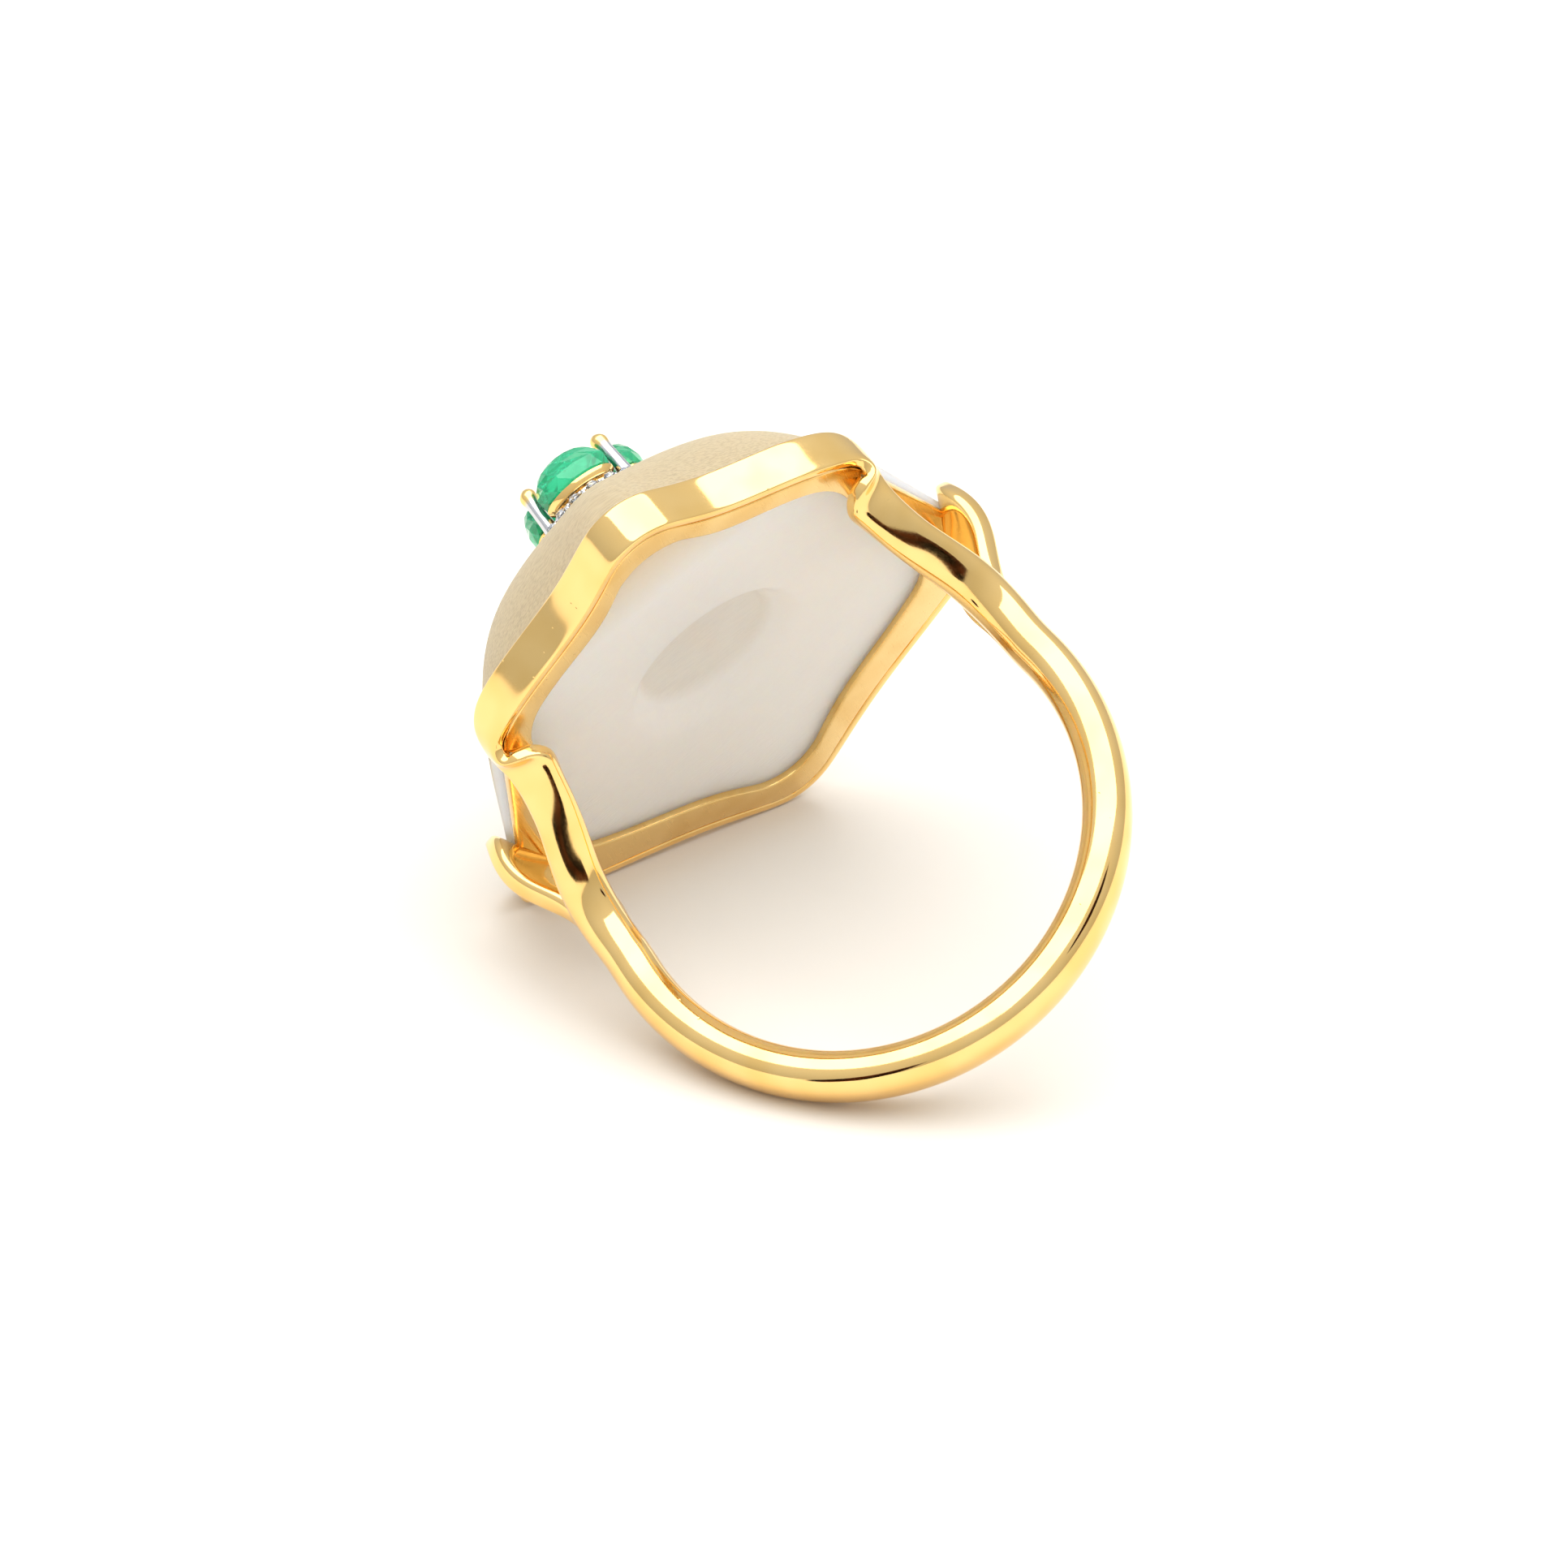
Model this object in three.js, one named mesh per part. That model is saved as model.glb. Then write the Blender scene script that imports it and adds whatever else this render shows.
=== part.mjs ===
// A gold cocktail ring: a D-section shank whose two sides each split into a front and a back shoulder
// strip, which carry a six-sided bezel. The bezel holds a domed rock-crystal cabochon, and a small
// cluster of four oval emeralds and pave diamonds is pegged to the top of the dome.
//
// Millimetres. The origin is the centre of the finger hole, +Y runs along the finger from the front
// of the ring to its back, and +Z points up through the head. Each mesh is one closed solid.

import * as THREE from 'three';

// Finger hole and shank.
const HOLE_RADIUS = 8.65;            // US size 7
const SHANK_THICKNESS = 1.82;        // measured across the hoop's radius
const SHANK_WIDTH = 2.3;             // measured along the finger
const HOOP_TOP = 1.6;                // height at which each side of the hoop divides
const SQUARENESS_HOOP = 2.3;         // superellipse exponent of the hoop's section

// Shoulder strips, from the hoop to the corners of the bezel.
const STRIP_WIDTH = 1.7;             // at the bezel; the strip is a little wider half way
const STRIP_DEPTH = 1.15;
const STRIP_SWELL = 0.22;            // extra width half way up
const SQUARENESS_STRIP = 3.4;

// Bezel: a six-sided seat with upright walls along its four pointed flanks.
const SEAT_Z = 8.5;                  // underside of the seat
const SEAT_THICKNESS = 0.35;
const SEAT_LEDGE = 1.65;             // width of the ledge under the crystal
const WALL_HEIGHT = 1.7;
const WALL_THICKNESS = 0.42;
const FRONT_POINT = -13.6;           // sharp points of the outline, before rounding
const BACK_POINT = 14.0;
const FRONT_CORNER = [8.55, -7.3];
const BACK_CORNER = [11.75, 5.7];
const POINT_ROUNDING = 1.7;          // distance from a sharp corner at which its rounding starts
const CORNER_ROUNDING = 1.5;
const FLANK_HOLLOW = 0.28;           // how far a flank is drawn in, most of all next to its point
const FRONT_END_DROP = 1.1;          // how much lower a wall is where it runs into the shoulders
const BACK_END_DROP = 0.4;

// Crystal.
const SEAT_GAP = 0.03;               // clearance between any two pieces that are seated together
const GIRDLE_HEIGHT = 0.5;
const DOME_TOP = 15.9;
const DOME_POWER = 2.8;
const DOME_RADIUS = 11.3;            // round form that the six-sided dome turns into near its top
const CLUSTER_SEAT_Z = 15.6;         // flat ground on the dome for the cluster
const RECESS_RADIUS = 3.75;
const RECESS_DEPTH = 1.0;
const BORE_RADIUS = 0.46;

// Cluster.
const POST_RADIUS = 0.4;
const PLATE_RADIUS = 3.32;
const PLATE_LOBE = 0.14;             // amplitude of the four lobes
const PLATE_LEDGE_Z = 16.42;
const PLATE_TOP = 16.74;
const CHANNEL_WIDTH = 0.62;          // ledge round the plate that holds the small diamonds
const PAVE_COUNT = 24;
const PAVE_RADIUS = 0.26;
const EMERALD_COUNT = 4;
const EMERALD_OFFSET = 2.2;          // from the axis to an emerald's centre
const EMERALD_HALF = [1.52, 0.95];   // along and across the stone
const CUP_TOP = 17.08;
const EMERALD_TOP = 18.3;
const CLAW_OFFSET = 2.52;
const CLAW_RADIUS = 0.23;
const CLAW_TOP = 18.75;
const COLLET_RADIUS = 0.95;
const COLLET_TOP = 17.3;
const CENTRE_STONE_RADIUS = 0.8;
const CENTRE_STONE_TOP = 18.15;

const TAU = 2 * Math.PI;
const ring = new THREE.Group();

const finish = {
  gold: new THREE.MeshStandardMaterial({ color: 0xe9bf62, roughness: 0.12, metalness: 1 }),
  whiteGold: new THREE.MeshStandardMaterial({ color: 0xd9dadf, roughness: 0.15, metalness: 1 }),
  crystal: new THREE.MeshStandardMaterial({ color: 0xdfd8ca, roughness: 0.45, metalness: 0 }),
  emerald: new THREE.MeshStandardMaterial({ color: 0x2fb184, roughness: 0.1, metalness: 0 }),
  diamond: new THREE.MeshStandardMaterial({ color: 0xeef2f6, roughness: 0.02, metalness: 0 }),
};

function add(name, geometry, material) {
  geometry.computeVertexNormals();
  const mesh = new THREE.Mesh(geometry, material);
  mesh.name = name;
  ring.add(mesh);
}

// Signed volume of an indexed triangle mesh: positive when its faces point outwards.
function signedVolume(points, index) {
  let total = 0;
  for (let i = 0; i < index.length; i += 3) {
    const [a, b, c] = [points[index[i]], points[index[i + 1]], points[index[i + 2]]];
    total += a.dot(b.clone().cross(c)) / 6;
  }
  return total;
}

// Joins loops of equal point count into one closed skin. An open run of loops gets a fan at each
// end; a run that is closed on itself (a ring with a hole) joins its last loop to its first.
function skin(loops, closedOnItself = false) {
  const count = loops[0].length;
  const points = loops.flat();
  const index = [];
  const spans = closedOnItself ? loops.length : loops.length - 1;
  for (let j = 0; j < spans; j += 1) {
    const low = j * count;
    const high = ((j + 1) % loops.length) * count;
    for (let i = 0; i < count; i += 1) {
      const next = (i + 1) % count;
      index.push(low + i, low + next, high + next, low + i, high + next, high + i);
    }
  }
  if (!closedOnItself) {
    for (const [start, forward] of [[0, false], [(loops.length - 1) * count, true]]) {
      const centre = points.length;
      const middle = new THREE.Vector3();
      for (let i = 0; i < count; i += 1) middle.add(points[start + i]);
      points.push(middle.divideScalar(count));
      for (let i = 0; i < count; i += 1) {
        const next = start + ((i + 1) % count);
        index.push(...(forward ? [centre, start + i, next] : [centre, next, start + i]));
      }
    }
  }
  if (signedVolume(points, index) < 0) index.reverse();
  const geometry = new THREE.BufferGeometry();
  const flat = points.flatMap((p) => [p.x, p.y, p.z]);
  geometry.setAttribute('position', new THREE.Float32BufferAttribute(flat, 3));
  geometry.setIndex(index);
  return geometry;
}

const signedPower = (value, power) => Math.sign(value) * Math.abs(value) ** power;

// One superellipse section: `across` and `along` are its unit axes, `half` its half sizes.
function section(centre, across, along, half, squareness, count) {
  return Array.from({ length: count }, (_, i) => {
    const angle = (i / count) * TAU;
    const u = half[0] * signedPower(Math.cos(angle), 2 / squareness);
    const v = half[1] * signedPower(Math.sin(angle), 2 / squareness);
    return centre.clone().addScaledVector(across, u).addScaledVector(along, v);
  });
}

// ---- Shank: the hoop below the split -------------------------------------------------------------

const HOOP_CENTRE = HOLE_RADIUS + SHANK_THICKNESS / 2;
const SECTION_POINTS = 16;

function shankHoop() {
  const topAngle = Math.asin(HOOP_TOP / HOOP_CENTRE);
  const steps = 44;
  const finger = new THREE.Vector3(0, 1, 0);
  const loops = Array.from({ length: steps + 1 }, (_, i) => {
    const angle = topAngle - (i / steps) * (Math.PI + 2 * topAngle);
    const outward = new THREE.Vector3(Math.cos(angle), 0, Math.sin(angle));
    const centre = outward.clone().multiplyScalar(HOOP_CENTRE);
    const half = [SHANK_THICKNESS / 2, SHANK_WIDTH / 2];
    return section(centre, outward, finger, half, SQUARENESS_HOOP, SECTION_POINTS);
  });
  return skin(loops);
}

// ---- Shoulders: four strips from the hoop to the bezel's corners ---------------------------------

// Stations of a strip's middle line on the right side: across the finger, along it, and height.
const SHOULDER_LINES = {
  front: [
    [9.47, 0.72, 2.9], [9.2, 1.55, 3.95], [8.66, 2.9, 5.05],
    [8.33, 4.1, 6.15], [8.15, 5.1, 7.2], [8.05, 5.85, SEAT_Z - SEAT_GAP],
  ],
  back: [
    [9.47, 0.72, 2.9], [9.5, 1.5, 4.0], [9.65, 2.5, 5.1],
    [9.95, 3.45, 6.2], [10.35, 4.25, 7.3], [10.75, 4.85, SEAT_Z - SEAT_GAP],
  ],
};

// A strip rises from its half of the hoop and swings out along the finger to a corner of the bezel.
function shoulder(side, place) {
  const end = place === 'front' ? -1 : 1;
  const topAngle = Math.asin(HOOP_TOP / HOOP_CENTRE);
  const hoopEnd = new THREE.Vector3(-side * Math.sin(topAngle), 0, Math.cos(topAngle));
  const startX = HOOP_CENTRE * Math.cos(topAngle);
  const startY = SHANK_WIDTH / 4 + SEAT_GAP / 2;
  const path = new THREE.CatmullRomCurve3([
    new THREE.Vector3(side * startX, end * startY, HOOP_TOP).addScaledVector(hoopEnd, SEAT_GAP),
    ...SHOULDER_LINES[place].map(([x, y, z]) => new THREE.Vector3(side * x, end * y, z)),
  ]);
  const steps = 16;
  const loops = Array.from({ length: steps + 1 }, (_, i) => {
    const t = i / steps;
    const centre = path.getPoint(t);
    const tangent = path.getTangent(t);
    if (i === 0) tangent.copy(hoopEnd);
    if (i === steps) tangent.set(0, 0, 1);
    const across = new THREE.Vector3(1, 0, 0).addScaledVector(tangent, -tangent.x).normalize();
    const along = tangent.clone().cross(across);
    const depth = THREE.MathUtils.lerp(SHANK_WIDTH / 2 - SEAT_GAP, STRIP_DEPTH, t);
    const swell = STRIP_SWELL * Math.sin(Math.PI * t);
    const width = THREE.MathUtils.lerp(SHANK_THICKNESS, STRIP_WIDTH, t) + swell;
    const squareness = THREE.MathUtils.lerp(SQUARENESS_HOOP, SQUARENESS_STRIP, t);
    return section(centre, across, along, [width / 2, depth / 2], squareness, SECTION_POINTS);
  });
  return skin(loops);
}

// ---- Bezel ---------------------------------------------------------------------------------------

const CORNERS = [
  { at: [0, FRONT_POINT], cut: POINT_ROUNDING },
  { at: FRONT_CORNER, cut: CORNER_ROUNDING },
  { at: BACK_CORNER, cut: CORNER_ROUNDING },
  { at: [0, BACK_POINT], cut: POINT_ROUNDING },
  { at: [-BACK_CORNER[0], BACK_CORNER[1]], cut: CORNER_ROUNDING },
  { at: [-FRONT_CORNER[0], FRONT_CORNER[1]], cut: CORNER_ROUNDING },
];
const CORNER_POINTS = 6;             // points on each rounded corner
const EDGE_POINTS = 4;               // points between two corners
const RUN = CORNER_POINTS + EDGE_POINTS;
const IS_SIDE = [false, true, false, false, true, false];
const IS_POINT = [true, false, false, true, false, false];

// The six-sided outline, drawn in by `inset` all round. It always has the same number of points, so
// that one outline can be skinned to another.
function outline(inset) {
  const edges = CORNERS.map(({ at }, i) => {
    const from = new THREE.Vector2(...at);
    const to = new THREE.Vector2(...CORNERS[(i + 1) % CORNERS.length].at);
    const direction = to.clone().sub(from).normalize();
    const inward = new THREE.Vector2(-direction.y, direction.x);
    return { from: from.addScaledVector(inward, inset), direction, inward };
  });
  const sharp = edges.map((edge, i) => {
    const before = edges[(i + edges.length - 1) % edges.length];
    const gap = edge.from.clone().sub(before.from);
    const along = gap.cross(edge.direction) / before.direction.cross(edge.direction);
    return before.from.clone().addScaledVector(before.direction, along);
  });
  const cutAt = (i) => CORNERS[i % CORNERS.length].cut - 0.5 * inset;
  const points = [];
  for (let i = 0; i < CORNERS.length; i += 1) {
    const before = edges[(i + edges.length - 1) % edges.length];
    const cut = cutAt(i);
    const bend = new THREE.QuadraticBezierCurve(
      sharp[i].clone().addScaledVector(before.direction, -cut),
      sharp[i],
      sharp[i].clone().addScaledVector(edges[i].direction, cut),
    );
    points.push(...bend.getPoints(CORNER_POINTS - 1));
    const start = bend.v2;
    const stop = sharp[(i + 1) % CORNERS.length].clone();
    stop.addScaledVector(edges[i].direction, -cutAt(i + 1));
    for (let j = 1; j <= EDGE_POINTS; j += 1) {
      const t = j / (EDGE_POINTS + 1);
      const fromPoint = IS_POINT[i] ? t : 1 - t;
      const hollow = IS_SIDE[i] ? 0 : FLANK_HOLLOW * Math.sin(Math.PI * fromPoint ** 0.7);
      points.push(start.clone().lerp(stop, t).addScaledVector(edges[i].inward, hollow));
    }
  }
  return points;
}

const lift = (flatPoints, z) => flatPoints.map((p) => new THREE.Vector3(p.x, p.y, z));
const circleLike = (flatPoints, radius) => flatPoints.map((p) => p.clone().setLength(radius));

function seat() {
  const outer = outline(WALL_THICKNESS + SEAT_GAP);
  const inner = outline(SEAT_LEDGE);
  const top = SEAT_Z + SEAT_THICKNESS;
  return skin([lift(outer, SEAT_Z), lift(outer, top), lift(inner, top), lift(inner, SEAT_Z)], true);
}

// A wall follows the outline over one point of the bezel, from side to side, and its top slopes down
// by `endDrop` where it curls round the two corners.
function wall(firstPoint, lastPoint, endDrop) {
  const outer = outline(0);
  const inner = outline(WALL_THICKNESS);
  const total = outer.length;
  const loops = [];
  for (let i = firstPoint; i <= lastPoint; i += 1) {
    const fromEnd = Math.min(i - firstPoint, lastPoint - i);
    const drop = endDrop * Math.max(0, 1 - fromEnd / CORNER_POINTS) ** 1.5;
    const high = SEAT_Z + WALL_HEIGHT - drop;
    const [o, n] = [outer[(i + total) % total], inner[(i + total) % total]];
    loops.push([...lift([o], SEAT_Z), ...lift([o, n], high), ...lift([n], SEAT_Z)]);
  }
  return skin(loops);
}

// ---- Crystal -------------------------------------------------------------------------------------

// A closed skin that runs out over the dome, down the girdle, in under the base, up into the round
// recess and back up the bore of the peg.
function crystal() {
  const rim = outline(WALL_THICKNESS + SEAT_GAP);
  const base = SEAT_Z + SEAT_THICKNESS + SEAT_GAP;
  const girdleTop = base + GIRDLE_HEIGHT;
  const domeHeight = DOME_TOP - girdleTop;
  const seatScale = ((DOME_TOP - CLUSTER_SEAT_Z) / domeHeight) ** (1 / DOME_POWER);
  const domeLevel = (share) => {
    const roundness = (1 - share) ** 0.6;
    const level = rim.map((p) => p.clone().setLength(
      share * THREE.MathUtils.lerp(p.length(), DOME_RADIUS, roundness),
    ));
    return lift(level, girdleTop + domeHeight * (1 - share ** DOME_POWER));
  };
  const loops = [lift(circleLike(rim, BORE_RADIUS), CLUSTER_SEAT_Z)];
  const bands = 9;
  for (let i = 0; i <= bands; i += 1) {
    const share = THREE.MathUtils.lerp(seatScale, 1, (i / bands) ** 0.8);
    loops.push(domeLevel(share));
  }
  loops.push(
    lift(rim, base),
    lift(circleLike(rim, RECESS_RADIUS), base),
    lift(circleLike(rim, RECESS_RADIUS), base + RECESS_DEPTH),
    lift(circleLike(rim, BORE_RADIUS), base + RECESS_DEPTH),
  );
  return skin(loops, true);
}

// ---- Cluster -------------------------------------------------------------------------------------

const plateRadius = (angle) => PLATE_RADIUS + PLATE_LOBE * Math.cos(EMERALD_COUNT * angle);

function roundLoop(radiusAt, z, count) {
  return Array.from({ length: count }, (_, i) => {
    const angle = (i / count) * TAU;
    const radius = radiusAt(angle);
    return new THREE.Vector3(radius * Math.cos(angle), radius * Math.sin(angle), z);
  });
}

function clusterPlate() {
  const count = 48;
  const bottom = CLUSTER_SEAT_Z + SEAT_GAP;
  const shoulderAt = (angle) => plateRadius(angle) - CHANNEL_WIDTH;
  const bore = () => BORE_RADIUS;
  return skin([
    roundLoop(bore, bottom, count),
    roundLoop(plateRadius, bottom, count),
    roundLoop(plateRadius, PLATE_LEDGE_Z, count),
    roundLoop(shoulderAt, PLATE_LEDGE_Z, count),
    roundLoop(shoulderAt, PLATE_TOP, count),
    roundLoop(bore, PLATE_TOP, count),
  ], true);
}

function lathe(profile, segments) {
  const geometry = new THREE.LatheGeometry(profile.map(([r, z]) => new THREE.Vector2(r, z)), segments);
  geometry.rotateX(Math.PI / 2);
  return geometry;
}

function clusterPost() {
  const bottom = SEAT_Z + SEAT_THICKNESS + SEAT_GAP + RECESS_DEPTH + SEAT_GAP;
  return lathe([[0, bottom], [POST_RADIUS, bottom], [POST_RADIUS, PLATE_TOP], [0, PLATE_TOP]], 16);
}

// A round stone: pavilion cut off flat, girdle, crown and table.
function roundStone(radius, low, high) {
  const girdle = THREE.MathUtils.lerp(low, high, 0.6);
  const edge = 0.04 * (high - low);
  const profile = [
    [0, low], [0.35 * radius, low], [radius, girdle - edge], [radius, girdle + edge],
    [0.58 * radius, high], [0, high],
  ];
  return lathe(profile, 12);
}

function ovalLoop(factor, z) {
  const count = 16;
  return Array.from({ length: count }, (_, i) => {
    const angle = ((i + 0.5) / count) * TAU;
    return new THREE.Vector3(
      EMERALD_HALF[0] * factor * Math.cos(angle),
      -EMERALD_OFFSET + EMERALD_HALF[1] * factor * Math.sin(angle),
      z,
    );
  });
}

function emeraldCup() {
  return skin([ovalLoop(0.78, PLATE_TOP + SEAT_GAP), ovalLoop(0.93, CUP_TOP)]);
}

function emerald() {
  const low = CUP_TOP + SEAT_GAP;
  const height = EMERALD_TOP - low;
  return skin([
    ovalLoop(0.82, low),
    ovalLoop(1, low + 0.36 * height),
    ovalLoop(1, low + 0.46 * height),
    ovalLoop(0.84, low + 0.78 * height),
    ovalLoop(0.55, EMERALD_TOP),
  ]);
}

// A claw stands in the notch between two emeralds and leans in a little; its tip is a rounded bead.
function claw() {
  const across = new THREE.Vector3(1, 0, 0);
  const along = new THREE.Vector3(0, 1, 0);
  const low = PLATE_TOP + SEAT_GAP;
  const stations = [
    [0, 1.1], [0.3, 0.95], [0.62, 0.9], [0.78, 1.1], [0.9, 1.12], [0.97, 0.85], [1, 0.45],
  ];
  const loops = stations.map(([t, factor]) => {
    const lean = 0.12 * t * t;
    const centre = new THREE.Vector3(CLAW_OFFSET - lean, 0, THREE.MathUtils.lerp(low, CLAW_TOP, t));
    const half = [CLAW_RADIUS * factor, CLAW_RADIUS * factor];
    return section(centre, across, along, half, 2, 10);
  });
  return skin(loops);
}

function centreCollet() {
  const low = PLATE_TOP + SEAT_GAP;
  const foot = 0.7 * COLLET_RADIUS;
  return lathe([[0, low], [foot, low], [COLLET_RADIUS, COLLET_TOP], [0, COLLET_TOP]], 20);
}

// ---- Assembly ------------------------------------------------------------------------------------

add('shank_hoop', shankHoop(), finish.gold);
add('shoulder_front_right', shoulder(1, 'front'), finish.gold);
add('shoulder_front_left', shoulder(-1, 'front'), finish.gold);
add('shoulder_back_right', shoulder(1, 'back'), finish.gold);
add('shoulder_back_left', shoulder(-1, 'back'), finish.gold);
add('bezel_seat', seat(), finish.gold);

// Point 0 starts the front point's rounding, and each corner opens a run of RUN points.
add('bezel_wall_front', wall(-RUN, RUN + CORNER_POINTS - 1, FRONT_END_DROP), finish.gold);
add('bezel_wall_back', wall(2 * RUN - 1, 4 * RUN + CORNER_POINTS, BACK_END_DROP), finish.gold);

add('crystal_dome', crystal(), finish.crystal);
add('cluster_post', clusterPost(), finish.gold);
add('cluster_plate', clusterPlate(), finish.whiteGold);
add('centre_collet', centreCollet(), finish.gold);
add(
  'centre_diamond',
  roundStone(CENTRE_STONE_RADIUS, COLLET_TOP + SEAT_GAP, CENTRE_STONE_TOP),
  finish.diamond,
);

const places = ['front', 'right', 'back', 'left'];
const clawPlaces = ['front_right', 'back_right', 'back_left', 'front_left'];
for (let i = 0; i < EMERALD_COUNT; i += 1) {
  const turn = (i / EMERALD_COUNT) * TAU;
  add(`emerald_cup_${places[i]}`, emeraldCup().rotateZ(turn), finish.gold);
  add(`emerald_${places[i]}`, emerald().rotateZ(turn), finish.emerald);
  add(`claw_${clawPlaces[i]}`, claw().rotateZ(turn - TAU / 8), finish.whiteGold);
}
for (let i = 0; i < PAVE_COUNT; i += 1) {
  const angle = ((i + 0.5) / PAVE_COUNT) * TAU;
  const radius = plateRadius(angle) - CHANNEL_WIDTH / 2;
  const stone = roundStone(PAVE_RADIUS, PLATE_LEDGE_Z + SEAT_GAP, PLATE_TOP + 0.02);
  stone.translate(radius * Math.cos(angle), radius * Math.sin(angle), 0);
  add(`pave_diamond_${String(i + 1).padStart(2, '0')}`, stone, finish.diamond);
}

export default ring;
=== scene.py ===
"""A gold cocktail ring with a frosted rock-crystal cabochon and an emerald and diamond cluster.

Lengths in this file are millimetres until a mesh, a light or the camera is made, and metres after
that. The axes are the ring's own: the origin is the centre of the finger hole, +Y runs along the
finger from the front of the ring to its back, and +Z points up through the head.
"""

import sys
import logging
from dataclasses import dataclass, field
from enum import Enum

import bpy
import numpy as np
from mathutils import Matrix, Vector


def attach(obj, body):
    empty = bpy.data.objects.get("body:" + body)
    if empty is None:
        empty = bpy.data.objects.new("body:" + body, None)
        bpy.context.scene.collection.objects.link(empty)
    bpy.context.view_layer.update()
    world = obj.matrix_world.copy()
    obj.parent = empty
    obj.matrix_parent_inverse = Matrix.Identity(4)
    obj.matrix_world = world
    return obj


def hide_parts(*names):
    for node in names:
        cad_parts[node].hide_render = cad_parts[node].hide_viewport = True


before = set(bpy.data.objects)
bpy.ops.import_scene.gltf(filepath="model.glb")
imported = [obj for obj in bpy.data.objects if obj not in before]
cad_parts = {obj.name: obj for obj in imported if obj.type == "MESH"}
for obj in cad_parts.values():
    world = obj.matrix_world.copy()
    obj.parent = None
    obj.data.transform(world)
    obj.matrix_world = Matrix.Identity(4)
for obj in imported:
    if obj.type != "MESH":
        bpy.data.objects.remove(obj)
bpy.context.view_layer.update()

LOG = logging.getLogger("ring")
MM = 0.001
TAU = 2 * np.pi
CREASE_ANGLE = 38.0  # degrees
Array = np.ndarray


# ---- Colour and nodes ----------------------------------------------------------------------------


def linear(hex_colour: str) -> tuple[float, float, float, float]:
    """Turns an sRGB hex colour into linear light.

    Args:
        hex_colour: the colour as "#RRGGBB".

    Returns:
        Linear red, green and blue, and an alpha of 1.
    """
    srgb = np.array([int(hex_colour[i : i + 2], 16) for i in (1, 3, 5)]) / 255
    light = np.where(srgb <= 0.04045, srgb / 12.92, ((srgb + 0.055) / 1.055) ** 2.4)
    return (*(float(x) for x in light), 1.0)


def node(tree: bpy.types.NodeTree, kind: str, inputs: dict | None = None, **settings) -> bpy.types.Node:
    """Adds a node with its settings and links.

    Args:
        tree: the node tree.
        kind: the node's type name.
        inputs: for each input, by name or number, its value or the socket that feeds it.
        **settings: the node's own properties.

    Returns:
        The new node.
    """
    made = tree.nodes.new(kind)
    for name, value in settings.items():
        setattr(made, name, value)
    for key, value in (inputs or {}).items():
        if isinstance(value, bpy.types.NodeSocket):
            tree.links.new(value, made.inputs[key])
        else:
            made.inputs[key].default_value = value
    return made


def ramp(tree: bpy.types.NodeTree, factor: bpy.types.NodeSocket, stops: list) -> bpy.types.NodeSocket:
    """Adds a colour ramp.

    Args:
        tree: the node tree.
        factor: the socket that drives the ramp.
        stops: pairs of position and hex colour.

    Returns:
        The ramp's colour socket.
    """
    made = node(tree, "ShaderNodeValToRGB", {"Fac": factor})
    elements = made.color_ramp.elements
    while len(elements) < len(stops):
        elements.new(0.5)
    for element, (position, colour) in zip(elements, stops):
        element.position = position
        element.color = linear(colour)
    return made.outputs["Color"]


def per_mm(size: float) -> float:
    """The texture scale that gives a pattern features `size` millimetres across."""
    return 1 / (size * MM)


# ---- Finishes ------------------------------------------------------------------------------------


@dataclass(frozen=True)
class Finish:
    """A finish: its name, and the slot of the record that it belongs to."""

    name: str
    slot: str

    def shader(self, tree: bpy.types.NodeTree, place: bpy.types.NodeSocket) -> bpy.types.Node:
        """Adds the finish's shader.

        Args:
            tree: the material's node tree.
            place: the object coordinates.

        Returns:
            The shader node.
        """
        raise NotImplementedError

    def material(self) -> bpy.types.Material:
        """Makes the finish into a material, once.

        Returns:
            The material, the same one at each call.
        """
        known = bpy.data.materials.get(self.name)
        if known is not None:
            return known
        made = bpy.data.materials.new(self.name)
        made.use_nodes = True
        tree = made.node_tree
        tree.nodes.clear()
        place = node(tree, "ShaderNodeTexCoord").outputs["Object"]
        shader = self.shader(tree, place)
        node(tree, "ShaderNodeOutputMaterial", {"Surface": shader.outputs[0]})
        return made


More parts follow.
